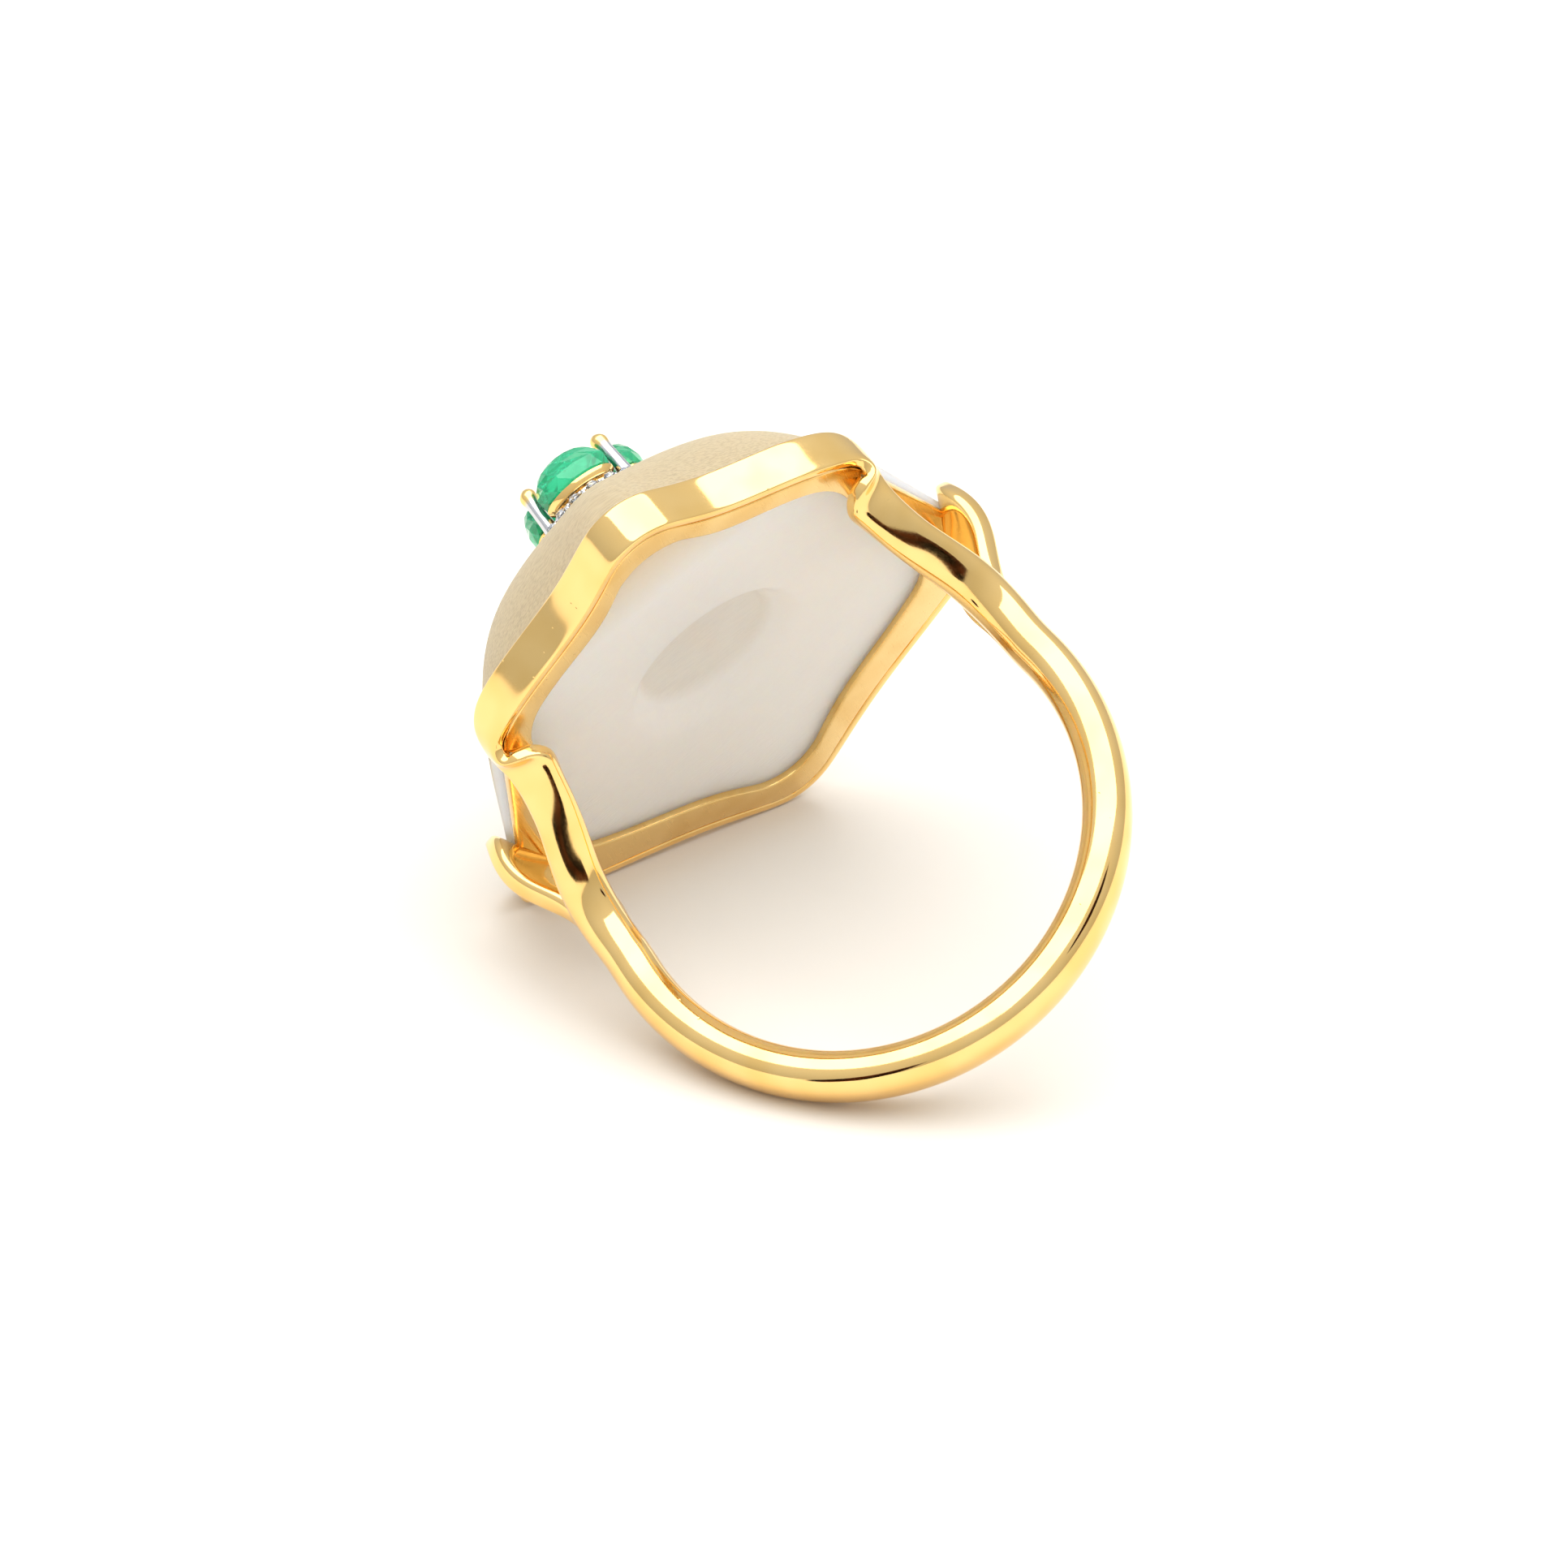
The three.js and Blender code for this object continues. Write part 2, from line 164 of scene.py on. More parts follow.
@dataclass(frozen=True)
class PolishedMetal(Finish):
    """Cast and hand-polished precious metal.

    Polishing leaves it mirror-like but never optically flat: the surface rolls gently over a
    millimetre or two, carries hair-fine scratches from wear, and shows a few casting pits. A satin
    metal has a fine grain as well. Real scratches and grain are a few thousandths of a millimetre
    wide, too fine to show, so both are drawn about ten times as coarse.
    """

    colour: str
    shade: str
    roughness: float = 0.07
    roll: float = 1.6
    roll_depth: float = 0.012
    scratch_width: float = 0.05
    scratch_slenderness: float = 0.04
    scratch_slant: tuple[float, float, float] = (0.5, 0.9, 0.4)
    scratch_depth: float = 0.0006
    pit_spacing: float = 0.9
    pit_share: tuple[float, float] = (0.03, 0.07)
    pit_depth: float = 0.01
    grain_width: float = 0.06
    grain_depth: float = 0.0

    def shader(self, tree: bpy.types.NodeTree, place: bpy.types.NodeSocket) -> bpy.types.Node:
        """Adds the metal's shader.

        Args:
            tree: the material's node tree.
            place: the object coordinates.

        Returns:
            The Principled node.
        """
        rolls = node(tree, "ShaderNodeTexNoise", {"Vector": place, "Scale": per_mm(self.roll), "Detail": 1.0})
        # Scratches are noise drawn out along one slanted direction.
        drawn = node(
            tree, "ShaderNodeMapping",
            {"Vector": place, "Rotation": self.scratch_slant, "Scale": (1.0, self.scratch_slenderness, 1.0)},
        )
        scratches = node(
            tree, "ShaderNodeTexNoise",
            {"Vector": drawn.outputs[0], "Scale": per_mm(self.scratch_width), "Detail": 2.0},
        )
        grain = node(
            tree, "ShaderNodeTexNoise", {"Vector": place, "Scale": per_mm(self.grain_width), "Detail": 3.0},
        )
        # Pits are the very middle of each cell, as a share of the cell's size.
        cells = node(tree, "ShaderNodeTexVoronoi", {"Vector": place, "Scale": per_mm(self.pit_spacing)})
        pits = node(
            tree, "ShaderNodeMapRange",
            {
                "Value": cells.outputs["Distance"],
                "From Min": self.pit_share[0], "From Max": self.pit_share[1],
            },
        )
        # Each relief lies on the one before it: its height, its strength and its depth.
        reliefs = (
            (rolls.outputs["Fac"], 0.6, self.roll_depth),
            (scratches.outputs["Fac"], 0.35, self.scratch_depth),
            (pits.outputs[0], 0.5, self.pit_depth),
            (grain.outputs["Fac"], 0.5, self.grain_depth),
        )
        surface: dict = {}
        for height, strength, depth in reliefs:
            if depth == 0:
                continue
            relief = {"Height": height, "Strength": strength, "Distance": depth * MM, **surface}
            surface = {"Normal": node(tree, "ShaderNodeBump", relief).outputs[0]}
        colour = ramp(tree, rolls.outputs["Fac"], [(0.3, self.shade), (0.62, self.colour)])
        rough = node(
            tree, "ShaderNodeMapRange",
            {
                "Value": scratches.outputs["Fac"], "From Min": 0.35, "From Max": 0.75,
                "To Min": self.roughness * 0.8, "To Max": self.roughness * 1.5,
            },
        )
        return node(
            tree, "ShaderNodeBsdfPrincipled",
            {"Base Color": colour, "Metallic": 1.0, "Roughness": rough.outputs[0], **surface},
        )


@dataclass(frozen=True)
class TwoColourClaw(PolishedMetal):
    """White-gold claw wire whose tip keeps its yellow gold, because only the stem was plated."""

    tip: str = "#FFD98A"
    tip_from: float = 18.0
    tip_to: float = 18.2

    def shader(self, tree: bpy.types.NodeTree, place: bpy.types.NodeSocket) -> bpy.types.Node:
        """Adds the shader, with its colour turning at the height where the plating stops.

        Args:
            tree: the material's node tree.
            place: the object coordinates.

        Returns:
            The Principled node.
        """
        made = super().shader(tree, place)
        height = node(tree, "ShaderNodeSeparateXYZ", {"Vector": place}).outputs["Z"]
        plated = node(
            tree, "ShaderNodeMapRange",
            {"Value": height, "From Min": self.tip_from * MM, "From Max": self.tip_to * MM},
        )
        stem = made.inputs["Base Color"].links[0].from_socket
        mixed = node(
            tree, "ShaderNodeMix",
            {"Factor": plated.outputs[0], "A": stem, "B": linear(self.tip)},
            data_type="RGBA",
        )
        tree.links.new(mixed.outputs["Result"], made.inputs["Base Color"])
        return made


@dataclass(frozen=True)
class FrostedQuartz(Finish):
    """Rock crystal ground with fine grit and left unpolished.

    The ground surface scatters light, so the stone is milky rather than clear. Above the bezel its
    colour is painted darker and warmer, as painted shade on the dome, with faint parallel strokes of
    the lap, whose real width of a few hundredths of a millimetre is drawn about twice as coarse.
    Towards the front point the colour turns a darker, warmer beige. One tiny dark inclusion lies over
    the recess.
    """

    colour: str = "#F8F9F9"
    shade: str = "#F3F4F4"
    cloud_size: float = 6.0
    front_beige: str = "#E3CDA6"
    front_beige_start: float = -7.5
    front_beige_end: float = -12.0
    # Painted shade: between these two heights the dome above the bezel turns darker and warmer than the stone
    # below.
    dome_shade_colour: str = "#D3C19C"
    dome_shade_dark: str = "#BCA882"
    dome_shade_start: float = 9.3
    dome_shade_end: float = 10.2
    stroke_width: float = 0.075
    stroke_slenderness: float = 0.12
    stroke_turn: float = 0.6
    stroke_depth: float = 0.03
    inclusion: str = "#5C6650"
    inclusion_at: tuple[float, float, float] = (-1.0, 2.0, 9.9)
    inclusion_radius: float = 0.2
    scatter_depth: float = 3.0

    def shader(self, tree: bpy.types.NodeTree, place: bpy.types.NodeSocket) -> bpy.types.Node:
        """Adds the crystal's shader.

        Args:
            tree: the material's node tree.
            place: the object coordinates.

        Returns:
            The Principled node.
        """
        # Strokes are noise drawn out along one level direction.
        drawn = node(
            tree, "ShaderNodeMapping",
            {
                "Vector": place, "Rotation": (0.0, 0.0, self.stroke_turn),
                "Scale": (self.stroke_slenderness, 1.0, 1.0),
            },
        )
        strokes = node(
            tree, "ShaderNodeTexNoise",
            {"Vector": drawn.outputs[0], "Scale": per_mm(self.stroke_width), "Detail": 4.0},
        )
        clouds = node(
            tree, "ShaderNodeTexNoise", {"Vector": place, "Scale": per_mm(self.cloud_size), "Detail": 2.0},
        )
        milky = ramp(tree, clouds.outputs["Fac"], [(0.3, self.shade), (0.65, self.colour)])
        axes = node(tree, "ShaderNodeSeparateXYZ", {"Vector": place})
        # Towards the front point the colour turns a darker, warmer beige.
        front_share = node(
            tree, "ShaderNodeMapRange",
            {"Value": axes.outputs["Y"], "From Min": self.front_beige_start * MM, "From Max": self.front_beige_end * MM},
        )
        beige_mix = node(
            tree, "ShaderNodeMix",
            {"Factor": front_share.outputs[0], "A": milky, "B": linear(self.front_beige)},
            data_type="RGBA",
        )
        # Painted shade: above the bezel the colour turns to darker, warmer lap-stroke colours, a painted
        # shade with the strokes' real pattern in it.
        shaded_strokes = ramp(tree, strokes.outputs["Fac"], [(0.36, self.dome_shade_dark), (0.56, self.dome_shade_colour)])
        dome_shaded_share = node(
            tree, "ShaderNodeMapRange",
            {"Value": axes.outputs["Z"], "From Min": self.dome_shade_start * MM, "From Max": self.dome_shade_end * MM},
        )
        stone = node(
            tree, "ShaderNodeMix",
            {"Factor": dome_shaded_share.outputs[0], "A": beige_mix.outputs["Result"], "B": shaded_strokes},
            data_type="RGBA",
        )
        # The inclusion fades out round its own edge.
        away = node(
            tree, "ShaderNodeVectorMath", {0: place, 1: Vector(self.inclusion_at) * MM}, operation="DISTANCE",
        )
        spot = node(
            tree, "ShaderNodeMapRange",
            {
                "Value": away.outputs["Value"], "To Min": 0.75, "To Max": 0.0,
                "From Min": self.inclusion_radius * 0.4 * MM, "From Max": self.inclusion_radius * 1.6 * MM,
            },
        )
        colour = node(
            tree, "ShaderNodeMix",
            {"Factor": spot.outputs[0], "A": stone.outputs["Result"], "B": linear(self.inclusion)},
            data_type="RGBA",
        )
        ground = node(
            tree, "ShaderNodeBump",
            {"Height": strokes.outputs["Fac"], "Strength": 0.8, "Distance": self.stroke_depth * MM},
        )
        return node(
            tree, "ShaderNodeBsdfPrincipled",
            {
                "Base Color": colour.outputs["Result"], "Roughness": 0.55, "IOR": 1.54,
                "Transmission Weight": 0.3, "Subsurface Weight": 1.0,
                "Subsurface Radius": (1.0, 0.85, 0.7), "Subsurface Scale": self.scatter_depth * MM,
                "Normal": ground.outputs[0],
            },
        )


@dataclass(frozen=True)
class CutStone(Finish):
    """A transparent stone, cut and polished, with faint clouds inside it."""

    colour: str
    cloud: str
    ior: float
    cloud_size: float = 0.6
    transmission: float = 1.0
    roughness: float = 0.03

    def shader(self, tree: bpy.types.NodeTree, place: bpy.types.NodeSocket) -> bpy.types.Node:
        """Adds the stone's shader.

        Args:
            tree: the material's node tree.
            place: the object coordinates.

        Returns:
            The Principled node.
        """
        clouds = node(
            tree, "ShaderNodeTexNoise",
            {"Vector": place, "Scale": per_mm(self.cloud_size), "Detail": 3.0, "Distortion": 0.6},
        )
        colour = ramp(tree, clouds.outputs["Fac"], [(0.38, self.colour), (0.68, self.cloud)])
        return node(
            tree, "ShaderNodeBsdfPrincipled",
            {
                "Base Color": colour, "Roughness": self.roughness, "IOR": self.ior,
                "Transmission Weight": self.transmission,
            },
        )


# Cast 18-carat gold, buffed to a mirror: deep warm reflections with soft wear.
POLISHED_GOLD = PolishedMetal("polished_yellow_gold_18ct", "yellow_gold", "#FFD88E", "#F9CF80")
# The same gold left as the file and emery paper leave it, where no buff reaches: a dull sheen.
# Its colours are painted darker than the polished gold's, though the metal is the same: painted
# shade on the seat.
SATIN_PAINTED_SHADE_GOLD = PolishedMetal(
    "painted_shade_satin_gold_18ct", "yellow_gold", "#F0CD88", "#E8C076",
    roughness=0.2, scratch_depth=0.0003, pit_spacing=0.7, pit_depth=0.03, grain_depth=0.004,
)
# White gold under a rhodium plating: bright, cool and almost colourless.
WHITE_GOLD = PolishedMetal("rhodium_plated_white_gold", "white_gold", "#E6E7EC", "#D2D4DB", roughness=0.1)
# Claw wire plated only below its tip: a cool stem with a warm bead.
CLAW_METAL = TwoColourClaw("part_plated_claw_gold", "white_gold", "#D8D9DD", "#C2C4CA", roughness=0.18)
# Ground rock crystal: a milky stone that glows softly from inside.
QUARTZ = FrostedQuartz("frosted_rock_crystal", "rock_crystal")
# Cut and polished emerald: a bright green with cloudy veils, which let only part of the light by.
EMERALD = CutStone(
    "polished_emerald", "emerald", "#16C489", "#3FDDA4", 1.58,
    cloud_size=1.2, transmission=0.6,
)
# Cut and polished diamond: clear, with hard bright and dark flashes.
DIAMOND = CutStone("polished_diamond", "diamond", "#F4F7FC", "#DDE6F2", 2.417)


# ---- Meshes --------------------------------------------------------------------------------------


class Shading(Enum):
    """How a mesh's faces meet."""

    CREASED = "smooth, with sharp edges where two faces meet at more than CREASE_ANGLE"
    FACETED = "flat facets"


def ring_faces(levels: int, count: int, wrap: bool) -> Array:
    """The quads between neighbouring rings of points.

    Args:
        levels: how many rings there are.
        count: how many points each ring has.
        wrap: whether the last ring joins the first.

    Returns:
        An array of quads, each a row of four point numbers.
    """
    spans = levels if wrap else levels - 1
    low = (np.arange(spans) * count)[:, None]
    high = ((np.arange(spans) + 1) % levels * count)[:, None]
    here = np.arange(count)[None, :]
    after = (here + 1) % count
    return np.stack([low + here, low + after, high + after, high + here], axis=-1).reshape(-1, 4)


def signed_volume(points: Array, triangles: Array) -> float:
    """The volume in a closed mesh: a sixth of the sum of its triangles' corners' triple products."""
    a, b, c = (points[triangles[:, i]] for i in range(3))
    return float(np.einsum("ij,ij->", a, np.cross(b, c)) / 6)


def shell(rings: Array, wrap: bool = False, facets: bool = False) -> tuple[Array, Array, Array]:
    """Turns rings of points into one closed shell whose faces point outwards.

    The volume inside it is positive when they do, so a negative one turns every face round.

    Args:
        rings: points, as levels by count by 3.
        wrap: whether the last ring joins the first. Otherwise a fan closes each end.
        facets: whether each quad is split in two, from one ring's next point to the other's last.

    Returns:
        The points, the quads and the triangles.
    """
    levels, count = rings.shape[:2]
    points = rings.reshape(-1, 3)
    quads = ring_faces(levels, count, wrap)
    triangles = np.zeros((0, 3), int)
    if facets:
        triangles = np.concatenate([quads[:, [0, 1, 3]], quads[:, [1, 2, 3]]])
        quads = np.zeros((0, 4), int)
    if not wrap:
        first, last = len(points), len(points) + 1
        points = np.concatenate([points, rings[[0, -1]].mean(axis=1)])
        here = np.arange(count)
        after = (here + 1) % count
        far = (levels - 1) * count
        start = np.stack([np.full(count, first), after, here], axis=-1)
        end = np.stack([np.full(count, last), far + here, far + after], axis=-1)
        triangles = np.concatenate([triangles, start, end])
    split = np.concatenate([quads[:, [0, 1, 2]], quads[:, [0, 2, 3]], triangles])
    if signed_volume(points, split) < 0:
        quads, triangles = quads[:, ::-1], triangles[:, ::-1]
    return points, quads, triangles


def piece(
    name: str,
    shells: list[tuple[Array, Array, Array]],
    finish: Finish,
    replaced: tuple[str, ...] | None = None,
    shading: Shading = Shading.CREASED,
) -> bpy.types.Object:
    """Makes one piece of the ring from its shells, dresses it and hangs it on the ring's body.

    Args:
        name: the piece's name.
        shells: closed shells, each as points, quads and triangles.
        finish: its finish.
        replaced: the CAD nodes that it stands for; the one of its own name if left out.
        shading: how its faces meet.

    Returns:
        The new object.
    """
    points, corners, starts = [], [], []
    offset, used = 0, 0
    for cloud, quads, triangles in shells:
        points.append(cloud)
        for faces in (quads, triangles):
            corners.append((faces + offset).ravel())
            starts.append(used + np.arange(len(faces)) * faces.shape[1])
            used += faces.size
        offset += len(cloud)
    cloud, corner, start = (np.concatenate(parts) for parts in (points, corners, starts))
    mesh = bpy.data.meshes.new(name)
    mesh.vertices.add(len(cloud))
    mesh.vertices.foreach_set("co", (cloud * MM).astype(np.float32).ravel())
    mesh.loops.add(len(corner))
    mesh.loops.foreach_set("vertex_index", corner.astype(np.int32))
    mesh.polygons.add(len(start))
    mesh.polygons.foreach_set("loop_start", start.astype(np.int32))
    mesh.update(calc_edges=True)
    mesh.validate()
    if shading is Shading.FACETED:
        mesh.shade_flat()
    else:
        mesh.shade_smooth()
        mesh.set_sharp_from_angle(angle=np.radians(CREASE_ANGLE))
    made = bpy.data.objects.new(name, mesh)
    bpy.context.scene.collection.objects.link(made)
    made.data.materials.append(finish.material())
    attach(made, "root")
    stood_for = (name,) if replaced is None else replaced
    if stood_for:
        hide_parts(*stood_for)
    LOG.info("%s: %d faces, %s", name, len(mesh.polygons), finish.name)
    return made


def power(value: Array, exponent: Array | float) -> Array:
    """Each value's size raised to a power, with its sign kept."""
    return np.sign(value) * np.abs(value) ** exponent


def mirrored(points: Array) -> Array:
    """Points reflected in the plane x = 0."""
    return points * np.array([-1.0, 1.0, 1.0])


def spline(stations: Array, spans: int) -> Array:
    """A smooth curve along the stations, in any number of columns.

    It is the uniform cubic B-spline that has the stations as its control points, with one more
    point straight on at each end, so that it starts at the first station and ends at the last.

    Args:
        stations: one row for each station.
        spans: how many steps are taken between two stations.

    Returns:
        The rows of the curve; row k * spans is the one nearest to station k.
    """
    before, after = 2 * stations[0] - stations[1], 2 * stations[-1] - stations[-2]
    controls = np.concatenate([before[None], stations, after[None]])
    p0, p1, p2, p3 = (controls[i : len(controls) - 3 + i, None] for i in range(4))
    t = (np.arange(spans) / spans)[None, :, None]
    curve = (1 - t) ** 3 * p0 + (3 * t**3 - 6 * t**2 + 4) * p1
    curve = curve + (1 + 3 * t + 3 * t**2 - 3 * t**3) * p2 + t**3 * p3
    return np.concatenate([curve.reshape(-1, stations.shape[1]) / 6, stations[-1:]])


# ---- The six-sided outline -----------------------------------------------------------------------


@dataclass(frozen=True)
class Outline:
    """A six-sided outline with two points on the y axis and two corners on each side.

    Each sharp corner is rounded by a parabola, and each flank next to a point is drawn in, most of
    all near its point, so that it runs in an ogee.
    """

    front_point: float
    front_corner: tuple[float, float]
    back_corner: tuple[float, float]
    back_point: float
    point_rounding: float = 1.7
    corner_rounding: float = 1.5
    hollow: float = 0.322
    hollow_lean: float = 0.7
    corner_points: int = 14
    edge_points: int = 22

    def sharp(self) -> Array:
        """The six corners before rounding.

        Returns:
            Their points, as 6 by 2, anticlockwise from the front point.
        """
        front, back = np.array(self.front_corner), np.array(self.back_corner)
        flip = np.array([-1, 1])
        return np.array([
            (0, self.front_point), front, back, (0, self.back_point), back * flip, front * flip,
        ])

    def points(self, inset: float = 0.0) -> Array:
        """The outline, drawn in all round.

        A flank's hollow is its depth times the squared sine of half a turn's share, where the share
        is the way from the point, raised to hollow_lean so that the deepest part is near the point.

        Args:
            inset: how far it is drawn in.

        Returns:
            Its points, as count by 2, anticlockwise from the start of the front point's rounding.
        """
        corners = self.sharp()
        direction = np.roll(corners, -1, axis=0) - corners
        direction /= np.linalg.norm(direction, axis=1, keepdims=True)
        inward = np.stack([-direction[:, 1], direction[:, 0]], axis=-1)
        before = np.roll(direction, 1, axis=0)
        # A corner moves in along both of its edges' normals: by inset over (1 + their dot product).
        normals = inward + np.roll(inward, 1, axis=0)
        spread = 1 + np.einsum("ij,ij->i", inward, np.roll(inward, 1, axis=0))
        corners = corners + inset * normals / spread[:, None]
        roundings = np.array([self.point_rounding, self.corner_rounding, self.corner_rounding] * 2)
        cuts = roundings - 0.5 * inset
        first = corners - before * cuts[:, None]
        last = corners + direction * cuts[:, None]
        t = np.linspace(0, 1, self.corner_points)[None, :, None]
        bends = first[:, None] * (1 - t) ** 2 + corners[:, None] * 2 * t * (1 - t) + last[:, None] * t**2
        s = (np.arange(1, self.edge_points + 1) / (self.edge_points + 1))[None, :, None]
        following = np.roll(first, -1, axis=0)
        edges = last[:, None] * (1 - s) + following[:, None] * s
        leaves_point = np.array([True, False, False, True, False, False])[:, None, None]
        is_side = np.array([False, True, False, False, True, False])[:, None, None]
        from_point = np.where(leaves_point, s, 1 - s)
        dip = self.hollow * np.sin(np.pi * from_point**self.hollow_lean) ** 2
        edges = edges + np.where(is_side, 0, dip) * inward[:, None]
        return np.concatenate([bends, edges], axis=1).reshape(-1, 2)


def lifted(flat: Array, height: float | Array) -> Array:
    """Points of a plane with a height added."""
    return np.concatenate([flat, np.broadcast_to(height, flat.shape[:-1])[..., None]], axis=-1)


def along_circle(flat: Array, radius: float | Array) -> Array:
    """Points of a plane moved in or out from the axis, onto a circle."""
    return flat / np.linalg.norm(flat, axis=-1, keepdims=True) * radius


# ---- Shank and bezel walls -----------------------------------------------------------------------


@dataclass
class Shank:
    """The hoop, the four shoulder strips and the two bezel walls that the strips run up into.

    Each wall is one ribbon of metal: it stands upright round an end of the bezel, turns down at the
    corners, and runs down as the shoulder strips to the hoop. The hoop ends and the strips begin
    fork_drop below the height where the two strips of a side part.
    """

    hole_radius: float = 8.65
    thickness: float = 1.82
    width: float = 2.3
    split_height: float = 1.6
    fork_drop: float = 0.95
    squareness: float = 2.3
    wall_height: float = 1.7
    wall_thickness: float = 0.42
    wall_squareness: float = 6.0
    seat_z: float = 8.5
    gusset_half: tuple[float, float] = (0.5, 0.4)
    gusset_front: tuple[float, float] = (7.95, -5.0)
    gusset_back: tuple[float, float] = (9.85, 1.8)
    gusset_foot: float = 6.9
    gusset_sink: float = 0.1
    section_points: int = 48
    hoop_steps: int = 240
    spans: int = 10
    outline: Outline = field(default_factory=lambda: Outline(-13.6, (8.55, -7.3), (11.75, 5.7), 14.0))

    def hoop(self) -> None:
        """Makes the hoop: a superellipse section carried round an arc, from one fork to the other."""
        middle = self.hole_radius + self.thickness / 2
        top = np.arcsin((self.split_height - self.fork_drop) / middle)
        turn = np.linspace(top, -np.pi - top, self.hoop_steps + 1)[:, None]
        angle = np.linspace(0, TAU, self.section_points, endpoint=False)[None, :]
        radius = middle + self.thickness / 2 * power(np.cos(angle), 2 / self.squareness)
        y = self.width / 2 * power(np.sin(angle), 2 / self.squareness)
        rings = np.stack([radius * np.cos(turn), y + 0 * turn, radius * np.sin(turn)], axis=-1)
        piece("shank_hoop", [shell(rings)], POLISHED_GOLD)

    def hoop_station(self, height: float, end: int) -> list[float]:
        """One ribbon station on the hoop's right side.

        Args:
            height: the height of the station on the hoop's middle line.
            end: -1 for the front half of the hoop and 1 for the back half.

        Returns:
            The station: outer edge, inner edge, thickness, squareness and share of a half hoop.
        """
        angle = np.arcsin(height / (self.hole_radius + self.thickness / 2))
        # A spline with its stations this many radians apart on a circle runs a little inside it, by
        # the share that the swell makes up for.
        apart = 0.1
        swell = 6 / (4 + 2 * np.cos(apart))
        outward = np.array([np.cos(angle), 0, np.sin(angle)]) * swell
        side = np.array([0, end * self.width / 2, 0])
        outer = (self.hole_radius + self.thickness) * outward + side
        inner = self.hole_radius * outward + side
        return [*outer, *inner, self.width / 2, self.squareness, 1.0]

    def arm_stations(self, end: int) -> Array:
        """The right-hand arm, from the hoop up to the corner where the ribbon turns into the wall.

        Each station has the outer and the inner edge of the strip's front face, the strip's
        thickness, its squareness and how much of a half hoop its section still is.

        Args:
            end: -1 for the front arm and 1 for the back arm.

        Returns:
            One row for each station.
        """
        front = [
            [10.37, -1.22, 2.70, 8.58, -1.22, 2.55, 1.16, 2.4, 0.90],
            [10.28, -1.60, 3.60, 8.40, -1.65, 3.50, 1.15, 2.6, 0.60],
            [9.98, -2.35, 4.40, 8.08, -2.45, 4.35, 1.15, 2.9, 0.25],
            [9.56, -3.30, 5.15, 7.68, -3.40, 5.15, 1.15, 3.2, 0.05],
            [9.20, -4.20, 5.90, 7.38, -4.45, 5.90, 1.15, 3.4, 0.0],
            [9.00, -5.00, 6.65, 7.20, -5.45, 6.65, 1.12, 3.4, 0.0],
            [8.94, -5.50, 7.32, 7.10, -6.10, 7.05, 1.0, 3.5, 0.0],
            [8.97, -5.55, 7.82, 7.45, -6.55, 7.30, 0.85, 3.7, 0.0],
            [9.00, -5.45, 8.28, 8.20, -6.75, 7.42, 0.7, 4.0, 0.0],
            [8.99, -5.42, 8.82, 8.88, -6.62, 7.75, 0.6, 4.2, 0.0],
            [8.96, -5.75, 9.42, 8.86, -6.82, 8.22, 0.5, 4.5, 0.0],
            [8.84, -6.35, 9.92, 8.56, -7.10, 8.48, 0.42, 5.0, 0.0],
            [8.26, -7.36, 10.16, 8.10, -7.48, 8.50, 0.42, 6.0, 0.0],
        ]
        back = [
            [10.37, 1.22, 2.70, 8.58, 1.22, 2.55, 1.16, 2.4, 0.90],
            [10.33, 1.40, 3.60, 8.55, 1.60, 3.50, 1.15, 2.6, 0.60],
            [10.45, 1.40, 4.50, 8.65, 1.95, 4.40, 1.15, 2.9, 0.25],
            [10.70, 1.35, 5.20, 8.85, 2.20, 5.10, 1.15, 3.2, 0.05],
            [11.05, 1.30, 5.90, 9.10, 2.35, 5.75, 1.15, 3.4, 0.0],
            [11.40, 1.20, 6.60, 9.40, 2.40, 6.40, 1.15, 3.4, 0.0],
            [11.60, 1.10, 7.30, 9.70, 2.40, 7.00, 1.15, 3.5, 0.0],
            [11.62, 1.05, 8.00, 10.05, 2.35, 7.50, 1.1, 3.6, 0.0],
            [11.48, 1.05, 8.70, 10.40, 2.30, 7.90, 1.0, 3.8, 0.0],
            [11.28, 1.35, 9.35, 10.70, 2.35, 8.25, 0.8, 4.0, 0.0],
            [11.18, 2.00, 9.95, 10.90, 2.70, 8.50, 0.6, 4.5, 0.0],
            [11.17, 3.00, 10.25, 11.02, 3.40, 8.50, 0.48, 5.0, 0.0],
            [11.30, 4.00, 10.26, 11.22, 4.40, 8.50, 0.45, 5.5, 0.0],
            [11.42, 5.00, 10.22, 11.40, 5.15, 8.50, 0.42, 5.5, 0.0],
            [11.30, 5.75, 10.20, 11.30, 5.75, 8.50, 0.42, 6.0, 0.0],
        ]
        hoop = [self.hoop_station(self.split_height - drops * self.fork_drop, end) for drops in (2, 1, 0)]
        return np.array(hoop + (front if end < 0 else back))

    def wall_stations(self, end: int) -> Array:
        """The upright wall from the left corner over the point to the right corner.

        Args:
            end: -1 for the front wall and 1 for the back wall.

        Returns:
            One row for each station, as in arm_stations.
        """
        run = self.outline.corner_points + self.outline.edge_points
        around = self.outline.points()
        # From the last point of one corner's rounding to the first point of the next one's.
        if end < 0:
            numbers = np.arange(-run + self.outline.corner_points - 1, run + 1)
        else:
            numbers = np.arange(2 * run + self.outline.corner_points - 1, 4 * run + 1)[::-1]
        # Every third point is enough for the spline.
        flat = around[numbers % len(around)][::3]
        rest = np.array([self.wall_thickness, self.wall_squareness, 0.0])
        top = lifted(flat, self.seat_z + self.wall_height)
        bottom = lifted(flat, self.seat_z)
        return np.concatenate([top, bottom, np.broadcast_to(rest, (len(flat), 3))], axis=1)

